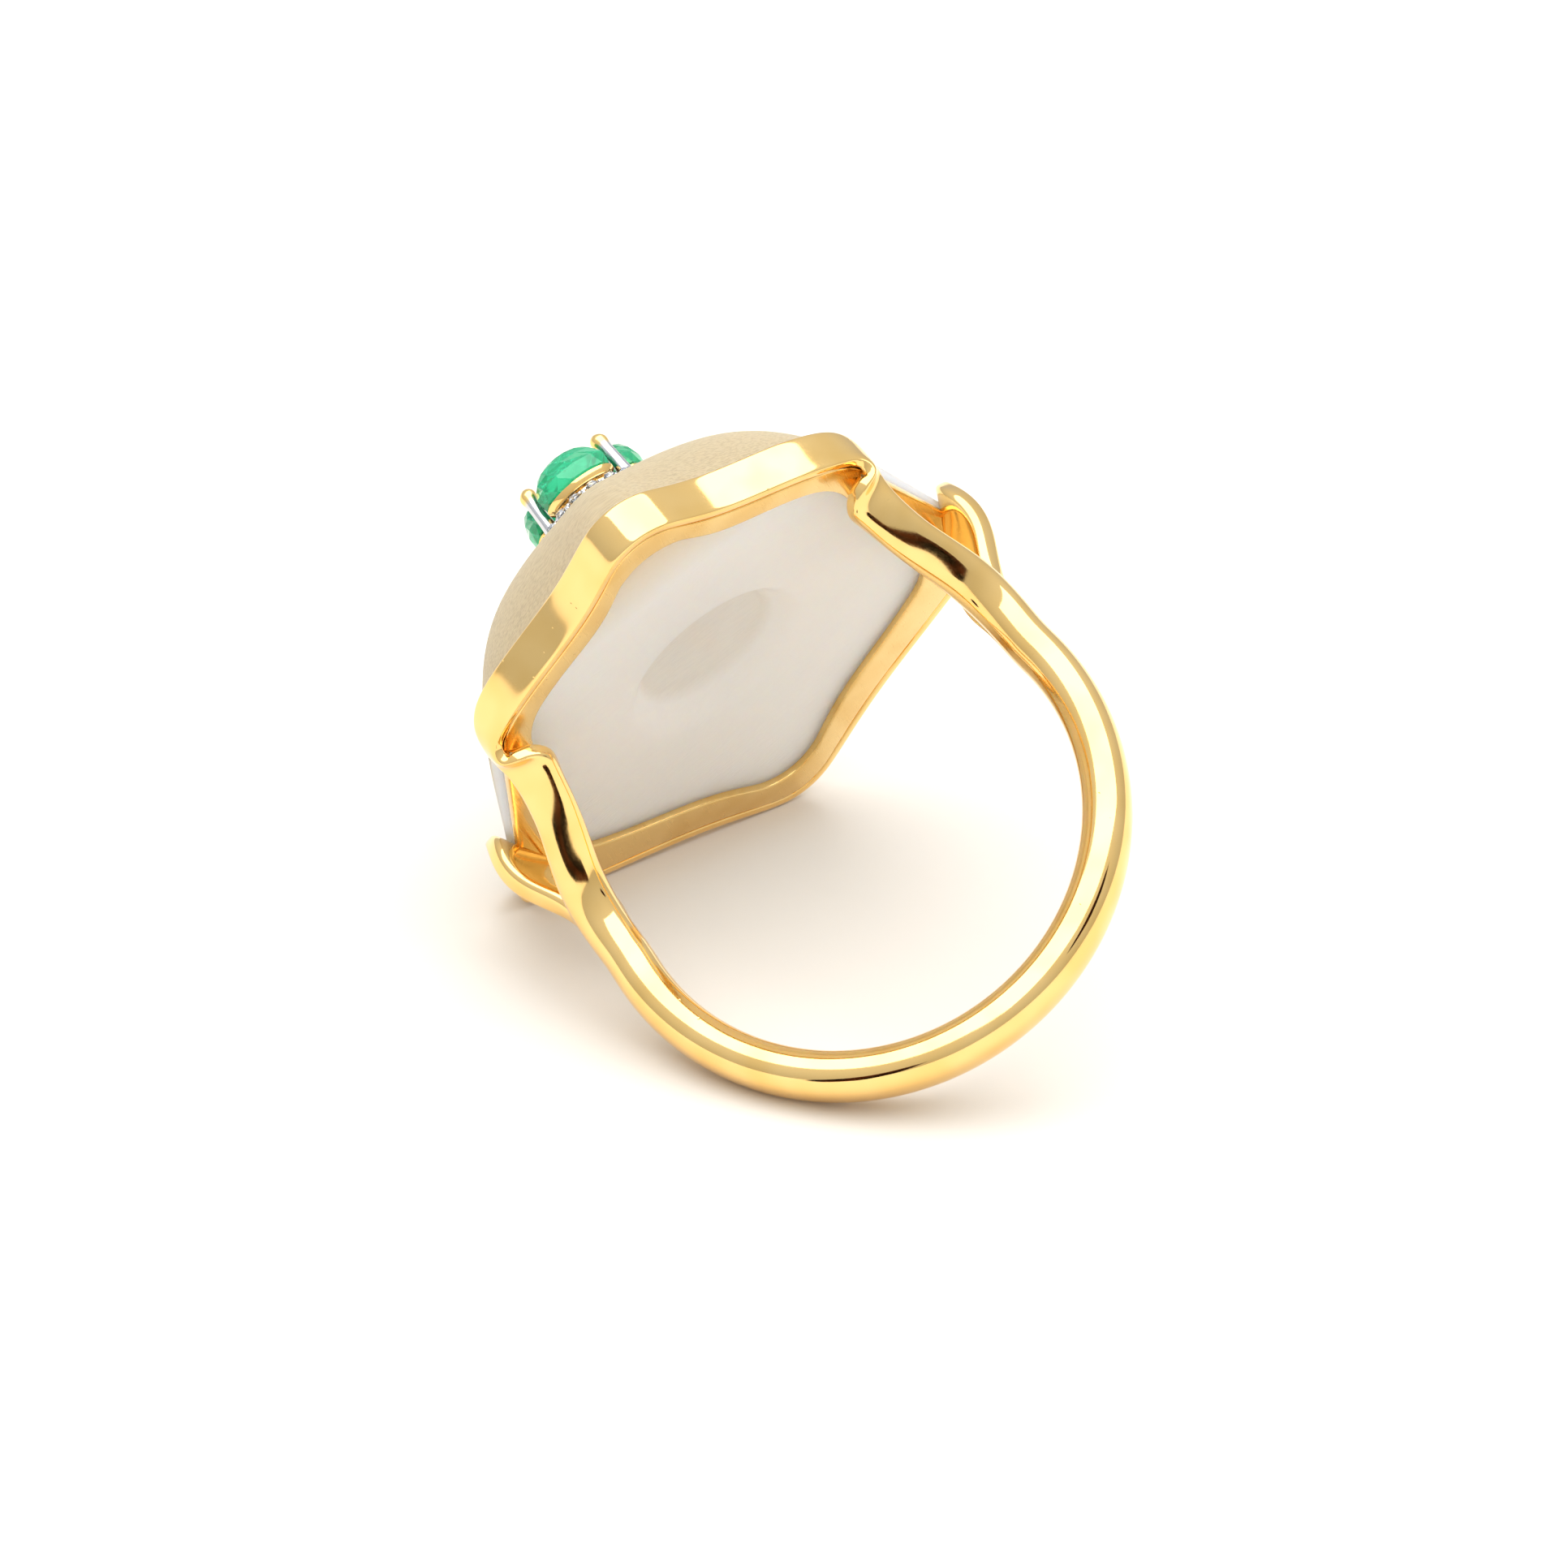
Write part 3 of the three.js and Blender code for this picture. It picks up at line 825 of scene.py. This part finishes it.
    def ribbon(self, stations: Array, end: int) -> Array:
        """Carries a section along a ribbon.

        The section is a superellipse that lies behind the line from the inner to the outer edge. Near
        the hoop it turns into half of the hoop's own section, flat on the side of the split.

        Args:
            stations: the stations, from left to right.
            end: -1 for the front ribbon and 1 for the back one.

        Returns:
            The rings, as levels by count by 3.
        """
        rows = spline(stations, self.spans)
        outer, inner = rows[:, :3], rows[:, 3:6]
        thickness, squareness, half_hoop = (rows[:, i][:, None] for i in (6, 7, 8))
        middle = (outer + inner) / 2
        across = outer - inner
        half_width = np.linalg.norm(across, axis=1, keepdims=True) / 2
        across = across / (2 * half_width)
        normal = -end * np.cross(np.gradient(middle, axis=0), across)
        normal /= np.linalg.norm(normal, axis=1, keepdims=True)
        angle = np.linspace(0, TAU, self.section_points, endpoint=False)[None, :]
        u = half_width * power(np.cos(angle), 2 / squareness)
        rise = power(np.sin(angle), 2 / squareness)
        strip = thickness / 2 * rise
        half = thickness * (np.maximum(rise, 0) - 0.5)
        v = strip * (1 - half_hoop) + half * half_hoop - thickness / 2
        return middle[:, None] + u[..., None] * across[:, None] + v[..., None] * normal[:, None]

    def gusset(self, centre: tuple[float, float]) -> Array:
        """A short upright block that ties the back of an arm to the seat.

        Its section is a rounded square: the powers of the cosine and sine are three fifths.

        Args:
            centre: where it stands, across and along the finger.

        Returns:
            Its rings, from its foot inside the arm to its top inside the seat.
        """
        angle = np.linspace(0, TAU, self.section_points, endpoint=False)[None, :]
        height = np.linspace(self.gusset_foot, self.seat_z + self.gusset_sink, 8)[:, None]
        x = centre[0] + self.gusset_half[0] * power(np.cos(angle), 0.6) + 0 * height
        y = centre[1] + self.gusset_half[1] * power(np.sin(angle), 0.6) + 0 * height
        return np.stack([x, y, height + 0 * angle], axis=-1)

    def build(self) -> None:
        """Makes the hoop, and both ribbons cut into a wall and two shoulder strips each."""
        self.hoop()
        for end, place, stand in ((-1, "front", self.gusset_front), (1, "back", self.gusset_back)):
            arm, wall = self.arm_stations(end), self.wall_stations(end)
            # A wall and its strips share a ring near the corner. The strips begin one station in.
            joint, foot = (len(arm) - 2) * self.spans, self.spans
            left = arm.copy()
            left[:, [0, 3]] *= -1
            rings = self.ribbon(np.concatenate([left, wall, arm[::-1]]), end)
            gusset = self.gusset(stand)
            strips = {
                "left": [shell(rings[foot : joint + 1]), shell(mirrored(gusset))],
                "right": [shell(rings[-joint - 1 : -foot]), shell(gusset)],
            }
            piece(f"bezel_wall_{place}", [shell(rings[joint:-joint])], POLISHED_GOLD)
            for side, shells in strips.items():
                piece(f"shoulder_{place}_{side}", shells, POLISHED_GOLD)


# ---- Seat and crystal ----------------------------------------------------------------------------


@dataclass
class StoneAndSeat:
    """The gold seat between the shank's two walls, and the domed crystal that stands on it."""

    shank: Shank
    opening: Outline = field(default_factory=lambda: Outline(-11.8, (7.15, -6.5), (8.6, 4.8), 12.0))
    gap: float = 0.03
    seat_thickness: float = 0.35
    girdle_height: float = 0.5
    dome_top: float = 15.9
    dome_power: float = 2.8
    dome_radius: float = 11.3
    ground_flat: float = 15.6
    foot_bevel: float = 0.12
    recess_radius: float = 4.0
    recess_ramp: tuple[float, float] = (0.35, 2.9)
    recess_depth: float = 0.62

    def rim(self) -> Array:
        """The crystal's outline, which leaves a gap all round inside the walls."""
        return self.shank.outline.points(self.shank.wall_thickness + self.gap)[None]

    def seat(self) -> None:
        """Makes the seat.

        Its section is a superellipse between the wall and the opening, with an exponent of 12 across
        and 5 in height, which is a rectangle with rounded edges.
        """
        angle = np.linspace(0, TAU, 28, endpoint=False)[:, None, None]
        inner = self.opening.points()[None]
        share = 0.5 - 0.5 * power(np.cos(angle), 2 / 12)
        flat = self.rim() * (1 - share) + inner * share
        height = self.shank.seat_z + self.seat_thickness * (0.5 + 0.5 * power(np.sin(angle), 2 / 5))
        # The seat's colour carries painted shade: its gold is coloured darker than the walls'.
        piece("bezel_seat", [shell(lifted(flat, height[..., 0]), wrap=True)], SATIN_PAINTED_SHADE_GOLD)

    def crystal(self) -> None:
        """Makes the crystal.

        From the flat ground for the cluster the dome falls as the share of the way to the rim to the
        power of dome_power, and turns from a circle into the six-sided rim. The girdle is upright,
        the base is flat, and the recess rises in a smooth ramp: three times the squared share of the
        way up it, less twice the cubed one.
        """
        rim = self.rim()
        base = self.shank.seat_z + self.seat_thickness + self.gap
        girdle = base + self.girdle_height
        fall = self.dome_top - girdle
        first = ((self.dome_top - self.ground_flat) / fall) ** (1 / self.dome_power)
        # The rings lie a little closer together towards the rim.
        share = (first + (1 - first) * np.linspace(0, 1, 60) ** 0.8)[:, None, None]
        reach = np.linalg.norm(rim, axis=-1, keepdims=True)
        roundness = (1 - share) ** 0.6
        dome = along_circle(rim, share * (reach * (1 - roundness) + self.dome_radius * roundness))
        dome = lifted(dome, (girdle + fall * (1 - share**self.dome_power))[..., 0])
        flat_top = lifted(along_circle(rim, 0.5 * self.dome_radius * first), self.ground_flat)
        bevel = np.linspace(0, np.pi / 2, 6)[:, None, None]
        pulled = 1 - self.foot_bevel * (1 - np.cos(bevel)) / reach
        foot = lifted(rim * pulled, (base + self.foot_bevel * (1 - np.sin(bevel)))[..., 0])
        # The recess has a steep side in front and slopes away gently to the back.
        backward = 0.5 + 0.5 * rim[..., 1:] / reach
        width = self.recess_ramp[0] * (1 - backward) + self.recess_ramp[1] * backward
        blend = np.linspace(0, 1, 10)[1:, None, None]
        edge = along_circle(rim, self.recess_radius)
        floor = lifted(foot[-1:, :, :2] * (1 - blend) + edge * blend, base)
        ramp_share = np.linspace(0, 1, 20)[1:, None, None]
        rise = (ramp_share**2 * (3 - 2 * ramp_share))[..., 0]
        within = self.recess_radius - width * ramp_share
        sides = lifted(along_circle(rim, within), base + self.recess_depth * rise)
        inner = (self.recess_radius - width) * np.array([0.7, 0.4, 0.1])[:, None, None]
        ceiling = lifted(along_circle(rim, inner), base + self.recess_depth)
        rings = np.concatenate([flat_top, dome, foot, floor, sides, ceiling])
        piece("crystal_dome", [shell(rings)], QUARTZ)

    def build(self) -> None:
        """Makes the seat and the crystal."""
        self.seat()
        self.crystal()


# ---- Cluster -------------------------------------------------------------------------------------


class Place(Enum):
    """The four places round the cluster, as quarter turns from the front."""

    FRONT = 0
    RIGHT = 1
    BACK = 2
    LEFT = 3


def turned(points: Array, angle: float | Array) -> Array:
    """Points turned about the z axis.

    Args:
        points: the points.
        angle: how far, in radians, anticlockwise from above.

    Returns:
        The turned points.
    """
    c, s = np.cos(angle), np.sin(angle)
    x, y, z = points[..., 0], points[..., 1], points[..., 2]
    return np.stack([c * x - s * y, s * x + c * y, z + 0 * x], axis=-1)


def leaned(points: Array, angle: float) -> Array:
    """Points turned about the y axis, so that their top leans over to +x.

    Args:
        points: the points.
        angle: how far, in radians.

    Returns:
        The leaning points.
    """
    c, s = np.cos(angle), np.sin(angle)
    x, y, z = points[..., 0], points[..., 1], points[..., 2]
    return np.stack([c * x + s * z, y, c * z - s * x], axis=-1)


def lathe(profile: list[tuple[float, float]], count: int = 64) -> Array:
    """Rings of a turned shape.

    Args:
        profile: pairs of radius and height, from one end to the other.
        count: how many points each ring has.

    Returns:
        The rings, as levels by count by 3.
    """
    angle = np.linspace(0, TAU, count, endpoint=False)[None, :]
    radius, height = (np.array(column)[:, None] for column in zip(*profile))
    return np.stack([radius * np.cos(angle), radius * np.sin(angle), height + 0 * angle], axis=-1)


def gem(levels: list[tuple[float, float, float]], count: int, half: tuple[float, float]) -> Array:
    """Rings of a faceted stone.

    Args:
        levels: for each ring its share of the girdle's size, its height and its turn in facets.
        count: how many points each ring has.
        half: half the girdle's length and breadth.

    Returns:
        The rings, as levels by count by 3.
    """
    share, height, turn = (np.array(column)[:, None] for column in zip(*levels))
    angle = (np.arange(count)[None, :] + turn) / count * TAU
    x = half[0] * share * np.cos(angle)
    y = half[1] * share * np.sin(angle)
    return np.stack([x, y, height + 0 * angle], axis=-1)


@dataclass
class Cluster:
    """Four oval emeralds round a small diamond, on a lobed plate edged with small diamonds.

    The plate stands on the flat that is ground on the dome at the height seat_z.
    """

    seat_z: float
    gap: float = 0.03
    plate_radius: float = 3.32
    plate_lobe: float = 0.14
    plate_foot: float = 16.12
    plate_top: float = 16.74
    channel: float = 0.62
    channel_drop: float = 0.2
    pave_count: int = 24
    pave_radius: float = 0.26
    grain_radius: float = 0.1
    front_emerald: tuple[float, float, float] = (1.6, 0.98, 2.2)
    side_emerald: tuple[float, float, float] = (1.38, 0.74, 1.92)
    cup_top: float = 16.94
    emerald_top: float = 18.5
    claw_offset: float = 2.52
    claw_radius: float = 0.29
    claw_top: float = 18.75
    collet_radius: float = 0.95
    collet_top: float = 17.3
    centre_radius: float = 0.8
    centre_top: float = 18.15
    post_radius: float = 0.4
    post_foot: float = 9.91

    def rim(self, angle: Array | float) -> Array | float:
        """The plate's radius in each direction: a circle with four shallow lobes."""
        return self.plate_radius + self.plate_lobe * np.cos(4 * angle)

    def plate(self) -> None:
        """Makes the plate and the peg that carries it.

        The plate's profile, as distance in from its edge and height, is an upright gallery wall with
        a thin lip, a sloping channel for the small diamonds and a raised middle.
        """
        angle = np.linspace(0, TAU, 192, endpoint=False)[None, :]
        inset, height = (np.array(column)[:, None] for column in zip(
            (0.35, self.seat_z + self.gap), (0.1, self.seat_z + 0.08), (0.02, self.seat_z + 0.2),
            (0.0, self.plate_foot), (0.03, self.plate_foot + 0.05), (0.09, self.plate_foot + 0.05),
            (0.13, self.plate_foot), (self.channel - 0.06, self.plate_top - self.channel_drop),
            (self.channel, self.plate_top - 0.14), (self.channel, self.plate_top - 0.06),
            (self.channel + 0.06, self.plate_top), (2.0, self.plate_top), (3.0, self.plate_top),
        ))
        radius = self.rim(angle) - inset
        rings = np.stack([radius * np.cos(angle), radius * np.sin(angle), height + 0 * angle], axis=-1)
        piece("cluster_plate", [shell(rings)], WHITE_GOLD)
        radius, foot, chamfer = self.post_radius, self.post_foot, 0.05
        post = [(radius - chamfer, foot), (radius, foot + chamfer), (radius, self.seat_z)]
        piece("cluster_post", [shell(lathe(post, 32))], POLISHED_GOLD)

    def pave(self) -> None:
        """Makes the small diamonds in the channel and the grains that hold them."""
        stone = gem(
            [(0.2, -0.15, 0), (1, 0.0, 0), (1, 0.03, 0), (0.8, 0.09, 0.5), (0.55, 0.15, 0)],
            8, (self.pave_radius, self.pave_radius),
        )
        rise = self.plate_top - self.channel_drop - self.plate_foot
        tilt = np.arctan2(rise, self.channel)
        stone_lift, grain_lift = 0.1, 0.06
        for number in range(self.pave_count):
            angle = (number + 0.5) / self.pave_count * TAU
            height = self.plate_foot + rise / 2 + stone_lift
            seat = np.array([self.rim(angle) - self.channel / 2, 0, height])
            placed = turned(leaned(stone, tilt) + seat, angle)
            name = f"pave_diamond_{number + 1:02d}"
            piece(name, [shell(placed, facets=True)], DIAMOND, shading=Shading.FACETED)
        # Grains: little domes in pairs between neighbouring stones.
        bow = np.linspace(0.08, 0.6 * np.pi, 6)
        dome = lathe([(self.grain_radius * np.sin(t), self.grain_radius * np.cos(t)) for t in bow], 10)
        shells = []
        for number in range(self.pave_count):
            angle = number / self.pave_count * TAU
            for share in (0.2, 0.8):
                height = self.plate_foot + share * rise + grain_lift
                seat = np.array([self.rim(angle) - share * self.channel, 0, height])
                shells.append(shell(turned(leaned(dome, tilt) + seat, angle)))
        piece("pave_grains", shells, WHITE_GOLD, replaced=())

    def emeralds(self) -> None:
        """Makes the four emeralds, the front and back ones larger, and the bearings under them."""
        low = self.cup_top + self.gap
        height = self.emerald_top - low
        levels = [
            (0.62, low - 0.12, 0.5), (0.93, low + 0.12 * height, 0), (1, low + 0.36 * height, 0.5),
            (1, low + 0.44 * height, 0.5), (0.88, low + 0.7 * height, 0), (0.7, low + 0.9 * height, 0.5),
            (0.5, self.emerald_top, 0),
        ]
        angle = np.linspace(0, TAU, 64, endpoint=False)[None, :]
        share, level = (np.array(column)[:, None] for column in zip(
            (0.7, self.plate_top), (0.84, self.plate_top + 0.03), (0.95, self.cup_top),
            (0.96, self.cup_top + 0.08), (0.88, self.cup_top + 0.08), (0.72, self.plate_top + 0.08),
        ))
        for place in Place:
            upright = place in (Place.FRONT, Place.BACK)
            length, breadth, offset = self.front_emerald if upright else self.side_emerald
            out = np.array([0, -offset, 0])
            stone = gem(levels, 12, (length, breadth)) + out
            cup = out + np.stack([
                length * share * np.cos(angle), breadth * share * np.sin(angle), level + 0 * angle,
            ], axis=-1)
            quarter = place.value * TAU / 4
            name = place.name.lower()
            piece(f"emerald_cup_{name}", [shell(turned(cup, quarter))], POLISHED_GOLD)
            piece(
                f"emerald_{name}", [shell(turned(stone, quarter), facets=True)], EMERALD,
                shading=Shading.FACETED,
            )

    def claws(self) -> None:
        """Makes the four claws: round wire that leans in and swells into a bead at its tip.

        The wire's radius has a bell-shaped swell near the top and a flare at the foot, and the last
        seventh of its length closes in as a quarter of an ellipse.
        """
        t = np.linspace(0, 1, 40)[:, None]
        low, lean = self.plate_top - 0.3, 0.16
        tip = np.sqrt(np.clip(1 - ((t - 0.86) / 0.14).clip(0, 1) ** 2, 0.02, 1))
        swell = 0.92 + 0.26 * np.exp(-(((t - 0.84) / 0.12) ** 2)) + 0.25 * (1 - t) ** 6
        radius = self.claw_radius * swell * tip
        reach = self.claw_offset - lean * t**2.5
        angle = np.linspace(0, TAU, 24, endpoint=False)[None, :]
        height = low + (self.claw_top - low) * t
        x, y = reach + radius * np.cos(angle), radius * np.sin(angle)
        rings = np.stack([x, y, height + 0 * angle], axis=-1)
        places = ("front_right", "back_right", "back_left", "front_left")
        for number, name in enumerate(places):
            piece(f"claw_{name}", [shell(turned(rings, number * TAU / 4 - TAU / 8))], CLAW_METAL)

    def centre(self) -> None:
        """Makes the small diamond in the middle and its collet."""
        foot, top = self.plate_top - 0.02, self.collet_top
        radius = self.collet_radius
        profile = [
            (0.7 * radius, foot), (0.74 * radius, foot + 0.04), (0.97 * radius, top - 0.04), (radius, top),
            (radius - 0.03, top + 0.05), (radius - 0.12, top + 0.05), (0.6 * radius, foot + 0.2),
        ]
        piece("centre_collet", [shell(lathe(profile))], POLISHED_GOLD)
        stone = gem(
            [
                (0.15, top - 0.25, 0), (0.97, top + 0.25, 0), (1, top + 0.29, 0), (1, top + 0.33, 0),
                (0.84, top + 0.55, 0.5), (0.55, self.centre_top, 0),
            ],
            12, (self.centre_radius, self.centre_radius),
        )
        piece("centre_diamond", [shell(stone, facets=True)], DIAMOND, shading=Shading.FACETED)

    def build(self) -> None:
        """Makes every piece of the cluster."""
        self.plate()
        self.pave()
        self.emeralds()
        self.claws()
        self.centre()


# ---- Studio --------------------------------------------------------------------------------------


@dataclass
class Studio:
    """The camera, a pale floor that the ring lies on, a large softbox and two small dark cards.

    The ring lies tipped over: it rests on the side of its hoop, on one back corner of the bezel and
    on the bezel's back point, so the floor is a plane across its axes.
    """

    floor_up: tuple[float, float, float] = (0.534, -0.756, 0.380)
    floor_size: float = 4000.0
    tilt: float = 24.27
    yaw: float = 1.62
    roll: float = -38.93
    distance: float = 280.0
    aim: tuple[float, float] = (-2.598, 1.723)
    focal_length: float = 173.5
    sensor: float = 36.0
    cards: dict[str, tuple[float, float, float]] = field(default_factory=lambda: {
        "right_card": (13.4, -9.7, -16.8),
        "left_card": (-10.9, -8.9, -13.5),
    })
    card_size: tuple[float, float] = (12.0, 4.5)
    softbox_distance: float = 500.0
    softbox_side: float = 800.0
    softbox_radiance: float = 2.25
    horizon_light: float = 0.62
    zenith_light: float = 0.9

    def camera_axes(self) -> tuple[Vector, Vector, Vector]:
        """Works out how the camera is turned from its tilt, its yaw and its roll in degrees.

        Returns:
            Its right, its up and its viewing direction, in the ring's axes.
        """
        tilt, yaw, roll = np.radians([self.tilt, self.yaw, self.roll])
        ahead = Vector((np.sin(yaw) * np.cos(tilt), np.cos(yaw) * np.cos(tilt), np.sin(tilt)))
        level = Vector((np.cos(yaw), -np.sin(yaw), 0))
        above = level.cross(ahead)
        right = level * np.cos(roll) + above * np.sin(roll)
        return right, above * np.cos(roll) - level * np.sin(roll), ahead

    def camera(self) -> None:
        """Makes the camera: a long lens, close to the ring."""
        right, above, ahead = self.camera_axes()
        data = bpy.data.cameras.new("camera")
        data.sensor_width = self.sensor
        data.lens = self.focal_length
        data.clip_start = 0.01
        data.clip_end = 20.0
        data.dof.use_dof = False
        made = bpy.data.objects.new("camera", data)
        place = -self.distance * ahead + self.aim[0] * right + self.aim[1] * above
        turn = Matrix((right, above, -ahead)).transposed().to_4x4()
        made.matrix_world = Matrix.Translation(place * MM) @ turn
        bpy.context.scene.collection.objects.link(made)
        bpy.context.scene.camera = made

    def floor_height(self) -> float:
        """Finds the floor from the CAD pieces' lowest point along its normal.

        Returns:
            How far above the origin the floor lies, in millimetres along its normal.
        """
        up = np.array(self.floor_up)
        lowest = 0.0
        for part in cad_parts.values():
            cloud = np.zeros(len(part.data.vertices) * 3, np.float32)
            part.data.vertices.foreach_get("co", cloud)
            lowest = min(lowest, float((cloud.reshape(-1, 3) @ up).min()))
        return lowest / MM

    def velvet(self) -> bpy.types.Material:
        """Brown-black velvet whose edges fade out, so that its reflection has soft ends.

        Returns:
            The material.
        """
        material = bpy.data.materials.new("black_velvet")
        material.use_nodes = True
        tree = material.node_tree
        tree.nodes.clear()
        coordinates = node(tree, "ShaderNodeTexCoord")
        folds = node(
            tree, "ShaderNodeTexNoise",
            {"Vector": coordinates.outputs["Object"], "Scale": per_mm(3.0), "Detail": 2.0},
        )
        pile = ramp(tree, folds.outputs["Fac"], [(0.42, "#0E0906"), (0.6, "#4A2512")])
        cloth = node(tree, "ShaderNodeBsdfDiffuse", {"Color": pile})
        clear = node(tree, "ShaderNodeBsdfTransparent")
        # The distance from the card's middle, made wavy by a quarter of the folds' height.
        centred = node(
            tree, "ShaderNodeVectorMath",
            {0: coordinates.outputs["UV"], 1: Vector((0.5, 0.5, 0))},
            operation="DISTANCE",
        )
        wavy = node(
            tree, "ShaderNodeMath",
            {0: folds.outputs["Fac"], 1: 0.25, 2: centred.outputs["Value"]},
            operation="MULTIPLY_ADD",
        )
        fade = node(
            tree, "ShaderNodeMapRange",
            {"Value": wavy.outputs[0], "From Min": 0.5, "From Max": 0.58, "To Min": 1.0, "To Max": 0.0},
        )
        both = node(
            tree, "ShaderNodeMixShader", {0: fade.outputs[0], 1: clear.outputs[0], 2: cloth.outputs[0]},
        )
        node(tree, "ShaderNodeOutputMaterial", {"Surface": both.outputs[0]})
        return material

    def sheet(
        self, name: str, size: tuple[float, float], material: bpy.types.Material, turn: Matrix, place: Vector,
    ) -> bpy.types.Object:
        """Adds a flat rectangle to the studio.

        Args:
            name: its name.
            size: its width and height, in millimetres.
            material: its material.
            turn: how it is turned; its face looks along the third axis of this.
            place: where its middle is, in metres.

        Returns:
            The new object.
        """
        x, y = size[0] / 2 * MM, size[1] / 2 * MM
        mesh = bpy.data.meshes.new(name)
        mesh.from_pydata([(-x, -y, 0), (x, -y, 0), (x, y, 0), (-x, y, 0)], [], [(0, 1, 2, 3)])
        mesh.uv_layers.new(name="sheet").data.foreach_set("uv", [0, 0, 1, 0, 1, 1, 0, 1])
        mesh.materials.append(material)
        made = bpy.data.objects.new(name, mesh)
        made.matrix_world = Matrix.Translation(place) @ turn
        bpy.context.scene.collection.objects.link(made)
        return made

    def dark_cards(self) -> None:
        """Adds the dark cards, which face the ring and show only in its reflections."""
        velvet = self.velvet()
        for name, millimetres in self.cards.items():
            place = Vector(millimetres) * MM
            front = -place.normalized()
            across = (Vector((1, 0, 0)) - front.x * front).normalized()
            turn = Matrix((across, front.cross(across), front)).transposed().to_4x4()
            made = self.sheet(name, self.card_size, velvet, turn, place)
            made.visible_camera = False
            made.visible_diffuse = False
            made.visible_transmission = False
            made.visible_shadow = False

    def softbox(self) -> None:
        """Adds a square softbox straight above the floor, facing the ring."""
        side = self.softbox_side * MM
        data = bpy.data.lights.new("overhead_softbox", "AREA")
        data.shape = "RECTANGLE"
        data.size, data.size_y = side, side
        # A flat lamp's power is its face's radiance times pi times its area.
        data.energy = self.softbox_radiance * np.pi * side**2
        made = bpy.data.objects.new("overhead_softbox", data)
        place = Vector(self.floor_up).normalized() * self.softbox_distance * MM
        turn = place.to_track_quat("Z", "Y").to_matrix().to_4x4()
        made.matrix_world = Matrix.Translation(place) @ turn
        made.visible_camera = False
        bpy.context.scene.collection.objects.link(made)

    def floor(self) -> None:
        """Makes the floor: matt white paper, which can be seen through from behind."""
        material = bpy.data.materials.new("matt_white_paper")
        material.use_nodes = True
        tree = material.node_tree
        tree.nodes.clear()
        paper = node(tree, "ShaderNodeBsdfDiffuse", {"Color": linear("#E3DFD8")})
        clear = node(tree, "ShaderNodeBsdfTransparent")
        behind = node(tree, "ShaderNodeNewGeometry").outputs["Backfacing"]
        both = node(tree, "ShaderNodeMixShader", {0: behind, 1: paper.outputs[0], 2: clear.outputs[0]})
        node(tree, "ShaderNodeOutputMaterial", {"Surface": both.outputs[0]})
        up = Vector(self.floor_up).normalized()
        turn = up.to_track_quat("Z", "Y").to_matrix().to_4x4()
        size = (self.floor_size, self.floor_size)
        self.sheet("floor", size, material, turn, up * self.floor_height() * MM)

    def surroundings(self) -> None:
        """Makes the pale room, which is plain white behind the floor's far edge."""
        world = bpy.data.worlds.new("pale_room")
        world.use_nodes = True
        tree = world.node_tree
        tree.nodes.clear()
        seen = node(tree, "ShaderNodeLightPath").outputs["Is Camera Ray"]
        direction = node(tree, "ShaderNodeTexCoord").outputs["Generated"]
        up = node(
            tree, "ShaderNodeVectorMath", {0: direction, 1: Vector(self.floor_up)}, operation="DOT_PRODUCT",
        )
        level = node(
            tree, "ShaderNodeMapRange",
            {
                "Value": up.outputs["Value"], "From Min": 0.0, "From Max": 0.8,
                "To Min": self.horizon_light, "To Max": self.zenith_light,
            },
        )
        room = node(tree, "ShaderNodeBackground", {"Color": linear("#FAFBFD"), "Strength": level.outputs[0]})
        white = node(tree, "ShaderNodeBackground", {"Color": linear("#FFFFFF"), "Strength": 1.0})
        both = node(tree, "ShaderNodeMixShader", {0: seen, 1: room.outputs[0], 2: white.outputs[0]})
        node(tree, "ShaderNodeOutputWorld", {"Surface": both.outputs[0]})
        bpy.context.scene.world = world

    def build(self) -> None:
        """Makes the camera, the floor, the room, the softbox and the dark cards."""
        bpy.context.scene.view_settings.view_transform = "Standard"
        self.camera()
        self.floor()
        self.surroundings()
        self.softbox()
        self.dark_cards()
        LOG.info("studio: floor %.2f mm below the finger hole's centre", -self.floor_height())


def main() -> None:
    """Builds the ring and its studio."""
    logging.basicConfig(level=logging.INFO, format="%(name)s: %(message)s", stream=sys.stdout)
    shank = Shank()
    stone = StoneAndSeat(shank)
    for part in (Studio(), shank, stone, Cluster(stone.ground_flat)):
        LOG.info("building %s", type(part).__name__)
        part.build()


if __name__ == "__main__":
    main()
